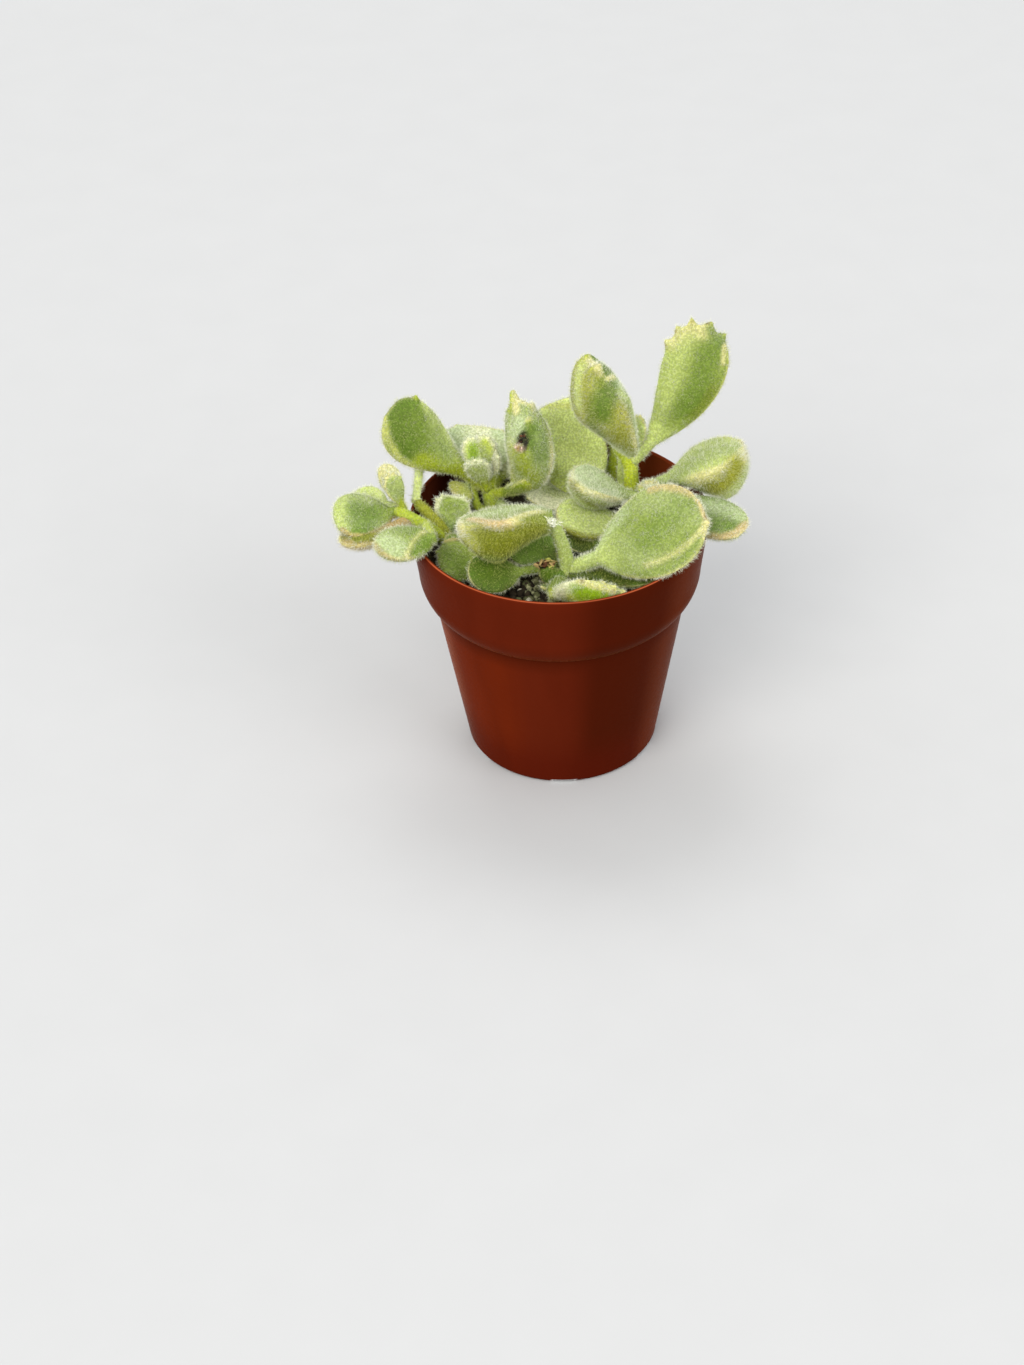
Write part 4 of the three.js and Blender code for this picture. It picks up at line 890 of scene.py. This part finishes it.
def hair_arrays(points, quads, colours, forward, share, draw):
    """Closed three-sided needles, sown over the quads in proportion to their area."""
    normals = vertex_normals(points, quads)
    triangles = np.concatenate([quads[:, [0, 1, 2]], quads[:, [0, 2, 3]]])
    a, b, c = (points[triangles[:, k]] for k in range(3))
    area = 0.5 * np.linalg.norm(np.cross(b - a, c - a), axis=1)
    patchy = 0.55 + 0.9 * smooth(0.5 + 0.8 * noise((a + b + c) / 3, 1.5))
    weight = area * share[triangles].mean(1) * patchy
    count = int(HAIRS_PER_MM2 * weight.sum())
    picked = draw.choice(len(triangles), size=count, p=weight / weight.sum())
    u, v = draw.random(count), draw.random(count)
    flip = u + v > 1
    u[flip], v[flip] = 1 - u[flip], 1 - v[flip]
    mix = np.stack([1 - u - v, u, v], axis=1)[..., None]
    corner = triangles[picked]
    root, normal, ahead, tints = (
        (part[corner] * mix).sum(1) for part in (points, normals, forward, colours)
    )
    normal = unit(normal + 1e-9)
    swirl = np.stack([noise(root + 50 * axis, 2.5) for axis in range(3)], axis=1)
    lean = draw.normal(size=(count, 3)) * HAIR["spread"] + ahead * HAIR["forward"]
    lean += swirl * HAIR["swirl"]
    direction = unit(normal + lean)
    first = unit(np.cross(direction, normal + (0.01, 0.02, 0.03)))
    second = np.cross(direction, first)
    length = HAIR["length"] * (0.55 + 0.75 * draw.random(count))
    length = length * (0.6 + 0.5 * share[corner].mean(1))
    start = root - direction * HAIR["sunk"]
    corners = [
        start + HAIR["radius"] * (math.cos(turn) * first + math.sin(turn) * second)
        for turn in turns(3)
    ]
    needles = np.stack([*corners, root + direction * length[:, None]], axis=1)
    pattern = np.array([[0, 2, 1], [0, 1, 3], [1, 2, 3], [2, 0, 3]])
    faces = (np.arange(count) * 4)[:, None, None] + pattern[None]
    blue = tints[:, 2]
    down = blend(DOWN_VIVID, DOWN, np.interp(blue, DOWN_SKIN, (0, 1)))
    tints = blend(tints, down, np.interp(blue, DOWN_REACH, DOWN_SHARE))
    return needles.reshape(-1, 3), faces.reshape(-1, 3), np.repeat(tints, 4, axis=0)


# ---- Materials ----


def rgba(colour):
    return (*colour, 1.0)


class Tree:
    """A short way to wire a material's nodes. Keywords name a node's settings or sockets."""

    def __init__(self, name):
        self.material = bpy.data.materials.new(name)
        self.material.use_nodes = True
        self.nodes = self.material.node_tree.nodes
        self.links = self.material.node_tree.links
        self.shader = self.nodes["Principled BSDF"]
        self.place = self.add("ShaderNodeTexCoord").outputs["Object"]

    def add(self, kind, **settings):
        return self.fill(self.nodes.new(kind), settings)

    def fill(self, node, settings):
        for key, value in settings.items():
            if hasattr(node, key):
                setattr(node, key, value)
            else:
                name = key.replace("_", " ").title().replace("Ior", "IOR")
                self.feed(node.inputs[name], value)
        return node

    def feed(self, socket, value):
        if isinstance(value, bpy.types.NodeSocket):
            self.links.new(value, socket)
        else:
            socket.default_value = value

    def set(self, **sockets):
        self.fill(self.shader, sockets)

    def tint(self):
        """The colour that the mesh has at each point."""
        return self.add("ShaderNodeAttribute", attribute_name="tint").outputs["Color"]

    def noise(self, scale, detail=2.0, place=None):
        place = place or self.place
        node = self.add("ShaderNodeTexNoise", scale=scale, detail=detail, vector=place)
        return node.outputs["Fac"]

    def ramp(self, value, low, high, bottom=0.0, top=1.0):
        ends = dict(from_min=low, from_max=high, to_min=bottom, to_max=top)
        node = self.add("ShaderNodeMapRange", interpolation_type="SMOOTHSTEP", value=value, **ends)
        return node.outputs["Result"]

    def mix(self, factor, a, b, mode="MIX"):
        node = self.add("ShaderNodeMix", data_type="RGBA", blend_type=mode)
        for socket, value in ((0, factor), (6, a), (7, b)):
            self.feed(node.inputs[socket], value)
        return node.outputs[2]

    def bump(self, height, strength, distance):
        node = self.add("ShaderNodeBump", strength=strength, distance=distance)
        self.feed(node.inputs["Height"], height)
        self.set(normal=node.outputs["Normal"])


def leaf_material():
    tree = Tree("leaf_skin")
    grain = tree.noise(2100, 3)
    dark = tree.mix(tree.ramp(grain, 0.4, 0.56), tree.tint(), (0.68, 0.7, 0.59, 1), "MULTIPLY")
    tree.set(base_color=dark, roughness=0.62, specular_ior_level=0.3)
    tree.set(subsurface_weight=0.18, subsurface_scale=0.002, subsurface_radius=(0.7, 1.0, 0.25))
    tree.set(sheen_weight=0.1, sheen_roughness=0.45, sheen_tint=(0.92, 0.97, 0.84, 1))
    tree.bump(grain, 0.5, 0.00012)
    return tree.material


def hair_material():
    tree = Tree("leaf_hair")
    tree.set(base_color=tree.tint(), roughness=0.7, specular_ior_level=0.25)
    return tree.material


def pot_material():
    tree = Tree("pot_plastic")
    upright = tree.add("ShaderNodeMapping", scale=(1, 1, 0.15), vector=tree.place)
    streak_share = tree.ramp(tree.noise(90, 3, upright.outputs["Vector"]), 0.3, 0.7, 0, 0.3)
    scuffs = tree.ramp(tree.noise(700, 4), 0.35, 0.7, 0.24, 0.32)
    tree.set(base_color=tree.mix(streak_share, tree.tint(), rgba(POT_STREAK_TONE)), roughness=scuffs, ior=1.03)
    tree.set(specular_ior_level=0.5, specular_tint=(1, 0.45, 0.25, 1))
    tree.set(sheen_weight=0.06, sheen_roughness=0.35, sheen_tint=(1, 0.4, 0.14, 1))
    tree.bump(tree.noise(120, 2), 0.05, 0.0002)
    return tree.material


def soil_material():
    tree = Tree("potting_mix")
    grit = tree.noise(1500, 5)
    colour = tree.mix(tree.ramp(grit, 0.4, 0.65, 0, 0.55), tree.tint(), rgba(SOIL_GRIT))
    tree.set(base_color=colour, roughness=0.95, specular_ior_level=0.15)
    tree.bump(grit, 0.8, 0.0004)
    return tree.material


def floor_material():
    tree = Tree("floor")
    paper = tree.mix(tree.noise(60, 3), (0.505, 0.505, 0.505, 1), (0.525, 0.525, 0.525, 1))
    tree.set(base_color=paper, roughness=0.9, specular_ior_level=0.1)
    return tree.material


# ---- The plant ----


def build_stem(name, parts, skin, fuzz, draw):
    shell = Shell()
    for traits in parts:
        if "radii" in traits:
            cane_shell(shell, traits)
        else:
            leaf_shell(shell, traits)
    points, quads, colours, forward, share = shell.arrays()
    leaves = make_piece(f"{name}_leaves", points, quads, skin, colours)
    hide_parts(name)
    above = quads[points[quads].mean(1)[:, 2] > SOIL["level"]]
    needles, faces, tints = hair_arrays(points, above, colours, forward, share, draw)
    hairs = make_piece(f"{name}_hairs", needles, faces, fuzz, tints)
    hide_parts(name)


# ---- The pot ----


def pot_outline(inset):
    """Half an outline of the pot from its base up, as radius and height."""
    is_outer = inset == 0
    base = [(POT["base"] - inset, POT["floor"])]
    if is_outer:
        edge = POT["base_edge"]
        middle = POT["base"] - edge
        turn = np.linspace(-math.pi / 2, 0, EDGE_POINTS)
        base = [(middle + edge * math.cos(a), edge + edge * math.sin(a)) for a in turn]
    foot = POT["band_foot"] + (0 if is_outer else BAND_DROP * POT["wall"])
    start = POT["body_top"] + POT["ledge"]
    out = POT["lip"] - POT["band_taper"] - start
    end = POT["shoulder_turn"]
    turn = np.linspace(-end, 0, SHOULDER_POINTS)
    across = start - inset + out * (np.cos(turn) - math.cos(end)) / (1 - math.cos(end))
    height = foot + POT["shoulder"] * (1 + np.sin(turn) / math.sin(end))
    return base + [(POT["body_top"] - inset, foot), *zip(across, height)]


def straight(a, b, steps):
    return [tuple(np.array(a) + (np.array(b) - a) * k / steps) for k in range(1, steps)]


def pot_profile():
    outer, inner = pot_outline(0), pot_outline(POT["wall"])
    r = POT["lip_round"]
    top = POT["height"] - r
    lip = [(POT["lip"] - r + r * math.sin(a), top + r * math.cos(a)) for a in LIP_TURNS[::-1]]
    inner_r = POT["lip"] - POT["wall"] + r
    brim = [(inner_r - r * math.sin(a), top + r * math.cos(a)) for a in LIP_TURNS]
    flank = straight(outer[EDGE_POINTS - 1], outer[EDGE_POINTS], 8)
    walls = outer[:EDGE_POINTS] + flank + outer[EDGE_POINTS:]
    walls += straight(outer[-1], lip[0], 4) + lip + brim + straight(brim[-1], inner[-1], 4)
    return [(POT["middle"], 0), *walls, *inner[::-1], (POT["middle"], POT["floor"])]


def pot_colours(points):
    radius, height = np.hypot(points[:, 0], points[:, 1]), points[:, 2]
    foot = POT["band_foot"]
    outside = np.interp(
        height,
        (0, foot, foot + POT["shoulder"], POT["height"]),
        (POT["base"], POT["body_top"], POT["lip"] - POT["band_taper"], POT["lip"]),
    )
    to_right = points[:, 0] / np.maximum(outside, 1)
    body = smooth((foot + 1 - height) / 3)
    # painted highlights on the far left of the body and along the right edge
    flank = smooth((-0.82 - to_right) / 0.16) * smooth((height - 8) / 12)
    edge_highlight = 0.6 * body * flank + 0.2 * smooth((to_right - 0.66) / 0.2)
    # painted shadow: a thin darker line at the foot of the band, under its step
    step_shadow = (height > foot - 0.7) & (height < foot + 0.2)
    inside = smooth((outside - radius - 0.6) / 0.3)
    # where the lip's painted highlight goes: its outer edge, stronger towards the front
    from_lip = POT["lip"] - radius
    on_lip = smooth((height - POT["height"] + 0.2) / 0.15)
    on_lip = on_lip * smooth((from_lip - 0.15) / 0.15) * smooth((0.55 - from_lip) / 0.1)
    front_light = 0.3 + 0.6 * smooth(0.4 - points[:, 1] / POT["lip"])
    colours = np.broadcast_to(POT_COLOUR, points.shape)
    for colour, share in (
        # painted shade to the right of the front
        (POT_PAINTED_SHADE, smooth((to_right - 0.04) / 0.26)),
        # painted light on the left of the body
        (POT_LIT_LEFT, body * smooth((-0.25 - to_right) / 0.3)),
        # painted shade towards the bottom
        (POT_LOW_SHADE, 0.7 * smooth((16 - height) / 12)),
        # painted edge highlights
        (POT_EDGE_HIGHLIGHT, edge_highlight),
        # painted shadow under the band's step
        (POT_PAINTED_SHADE, 0.8 * step_shadow),
        (POT_INSIDE, inside),
        (POT_SHADE, 0.8 * inside * smooth((-0.2 - to_right) / 0.4)),
        # painted highlight on the lip
        (POT_LIP_HIGHLIGHT, front_light * on_lip),
    ):
        colours = blend(colours, colour, share)
    return colours


def build_pot(material):
    profile, sides = pot_profile(), POT["sides"]
    points = np.concatenate([lathe(profile, sides), [(0, 0, 0), (0, 0, POT["floor"])]])
    quads = outward(points, tube_quads(len(profile), sides))
    pot = make_piece("plastic_pot", points, quads, material, pot_colours(points))
    cut_drains(pot)
    pot.data.set_sharp_from_angle(angle=math.radians(35))
    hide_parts("pot")


def cut_drains(pot):
    """Cuts the drain holes through the pot's floor and a groove from each out to its edge."""
    ring, base, radius = (size * MM for size in (DRAIN["ring"], POT["base"], DRAIN["hole"]))
    box = Matrix.Diagonal((base, DRAIN["groove"] * MM, 2 * DRAIN["depth"] * MM, 1))
    holes, grooves = bmesh.new(), bmesh.new()
    for turn in turns(DRAIN["count"]) + math.pi / DRAIN["count"]:
        spin = Matrix.Rotation(turn, 4, "Z")
        bmesh.ops.create_cone(
            holes, cap_ends=True, segments=32, radius1=radius, radius2=radius,
            depth=6 * POT["floor"] * MM, matrix=spin @ Matrix.Translation((ring, 0, 0)),
        )
        middle = Matrix.Translation((ring + base / 2, 0, 0))
        bmesh.ops.create_cube(grooves, size=1, matrix=spin @ middle @ box)
    for cutter in (holes, grooves):
        mesh = bpy.data.meshes.new("cutter")
        cutter.to_mesh(mesh)
        cutter.free()
        add_tint(mesh, np.tile(rgba(POT_CUT), len(mesh.vertices)))
        tool = link("cutter", mesh)
        cut = pot.modifiers.new("cut", "BOOLEAN")
        cut.object, cut.operation, cut.solver = tool, "DIFFERENCE", "EXACT"
        shaped = pot.evaluated_get(bpy.context.evaluated_depsgraph_get())
        shape = bpy.data.meshes.new_from_object(shaped)
        pot.modifiers.clear()
        pot.data = shape
        bpy.data.objects.remove(tool)
        bpy.data.meshes.remove(mesh)


# ---- The soil, its crumbs and the dry scales ----


def soil_height(x, y):
    roll = np.sin(0.31 * x + 1.3) * np.cos(0.27 * y - 0.6)
    grain = np.sin(1.1 * x + 0.4 * y) * np.sin(0.9 * y - 0.5 * x + 2)
    return SOIL["level"] + SOIL["bump"] * (0.55 * roll + 0.45 * grain)


def build_soil(material):
    sides, rings = SOIL["sides"], SOIL["rings"]
    inset = POT["wall"] + SOIL["gap"]
    brink = SOIL["level"] - SOIL["brink"]
    (foot, floor), *wall = [p for p in pot_outline(inset) if p[1] < brink]
    floor += SOIL["gap"]
    slope = (POT["lip"] - inset - wall[-1][0]) / (POT["height"] - wall[-1][1])
    top_radius = wall[-1][0] + slope * (brink - wall[-1][1])
    profile = [(foot / 2, floor), (foot, floor), *wall, (top_radius, brink)]
    surface = [(top_radius * k / (rings + 0.8), 0) for k in range(rings, 0, -1)]
    points = lathe(profile + surface, sides)
    top = points[len(profile) * sides :]
    crumbly = 0.7 * noise(top, 2.2) + 0.45 * noise(top + 30, 0.9)
    top[:, 2] = soil_height(top[:, 0], top[:, 1]) + crumbly - SOIL["sunk"]
    ends = [(0, 0, floor), (0, 0, float(soil_height(0, 0)) - SOIL["sunk"])]
    points = np.concatenate([points, ends])
    quads = outward(points, tube_quads(len(profile) + rings, sides))
    colours = blend(SOIL_DARK, SOIL_PALE, smooth(0.5 + 0.8 * noise(points, 1.5)))
    soil = make_piece("potting_mix", points, quads, material, colours)
    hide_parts("soil")


def unit_ball():
    """The points and triangles of a small round ball."""
    ball = bmesh.new()
    bmesh.ops.create_icosphere(ball, subdivisions=2, radius=1)
    points = np.array([v.co[:] for v in ball.verts])
    faces = np.array([[v.index for v in face.verts] for face in ball.faces])
    ball.free()
    return points, faces


def make_grains(name, grains, draw, material):
    """One piece of lumpy grains, each given as place, size on three axes and colour."""
    ball, faces = unit_ball()
    points, triangles, tints = [], [], []
    for number, (place, size, colour) in enumerate(grains):
        lumpy = ball * (1 + 0.3 * noise(ball + 9 * number, 0.8))[:, None]
        turn = Quaternion(unit(draw.normal(size=3)), draw.uniform(0, math.pi))
        turned = (lumpy * size) @ np.array(turn.to_matrix()).T
        points.append(turned + place)
        triangles.append(faces + len(ball) * number)
        worn = 0.7 + 0.5 * smooth(0.5 + 0.8 * noise(turned + 5 * number, 0.5))
        tints.append(np.asarray(colour) * worn[:, None])
    points, triangles, tints = (np.concatenate(part) for part in (points, triangles, tints))
    return make_piece(name, points, triangles, material, tints)


def build_crumbs(material):
    draw = np.random.default_rng(5)
    grains = []
    for number in range(CRUMBS["count"]):
        x, y, radius = CRUMB_PATCHES[number % len(CRUMB_PATCHES)]
        distance, turn = radius * math.sqrt(draw.random()), draw.uniform(0, 2 * math.pi)
        x, y = x + distance * math.cos(turn), y + distance * math.sin(turn)
        size = draw.uniform(*CRUMBS["size"]) * np.array([1, draw.uniform(0.7, 1), 0.75])
        colour = CRUMB_COLOURS[draw.choice(len(CRUMB_COLOURS), p=CRUMB_SHARES)]
        grains.append(((x, y, float(soil_height(x, y)) + 0.35 * size[0] - 0.1), size, colour))
    piece = make_grains("soil_crumbs", grains, draw, material)
    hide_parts("soil")


def build_scales(material):
    """The papery bits on a bare node, in an old scar and on the boat leaf's foot."""
    draw = np.random.default_rng(8)
    for name, bits in SCALES.items():
        grains = []
        for colours, count, centre, reach, size in bits:
            for number in range(count):
                place = np.array(centre) + draw.normal(size=3) * reach
                scaled = np.array(size) * draw.uniform(0.7, 1.3)
                grains.append((place, scaled, colours[number % len(colours)]))
        make_grains(name, grains, draw, material)


# ---- Stage, light and camera ----


def build_stage():
    mesh = bpy.data.meshes.new("floor")
    corners = np.array([(-1, -1, 0), (1, -1, 0), (1, 1, 0), (-1, 1, 0)]) * FLOOR_REACH
    mesh.from_pydata(corners, [], [(0, 1, 2, 3)])
    mesh.materials.append(floor_material())
    floor = link("floor", mesh)


def build_light():
    world = bpy.data.worlds.new("studio")
    world.use_nodes = True
    background = world.node_tree.nodes["Background"]
    background.inputs["Color"].default_value = rgba(SKY["colour"])
    background.inputs["Strength"].default_value = SKY["strength"]
    bpy.context.scene.world = world
    bpy.context.scene.view_settings.view_transform = "Standard"
    for name, place, width, power, colour in LAMPS:
        data = bpy.data.lights.new(name, "AREA")
        data.shape, data.size, data.energy, data.color = "DISK", width, power, colour
        lamp = link(name, data)
        lamp.location = place
        lamp.rotation_mode = "QUATERNION"
        aim = Vector(LAMP_AIM) - lamp.location
        lamp.rotation_quaternion = aim.to_track_quat("-Z", "Y")


def build_camera():
    data = bpy.data.cameras.new("camera")
    data.sensor_width = SENSOR
    data.lens = FOCAL_PX * SENSOR / max(IMAGE)
    data.clip_start, data.clip_end = 0.01, 20
    camera = link("camera", data)
    back = Vector((0, -math.cos(ELEVATION), math.sin(ELEVATION)))
    camera.location = (Vector(AIM) + back * DISTANCE) * MM
    camera.rotation_mode = "QUATERNION"
    level = (-back).to_track_quat("-Z", "Y") @ Quaternion((0, 0, 1), ROLL)
    right, down = (AIM_PIXEL[k] - IMAGE[k] / 2 for k in range(2))
    offset = Vector((right / FOCAL_PX, -down / FOCAL_PX, -1))
    swing = Vector((0, 0, -1)).rotation_difference(offset)
    camera.rotation_quaternion = level @ swing.inverted()
    bpy.context.scene.camera = camera


build_camera()
build_stage()
build_light()
build_pot(pot_material())
earth, skin, fuzz = soil_material(), leaf_material(), hair_material()
build_soil(earth)
build_crumbs(earth)
build_scales(fuzz)
draw = np.random.default_rng(20)
for name, parts in STEMS.items():
    build_stem(name, parts, skin, fuzz, draw)
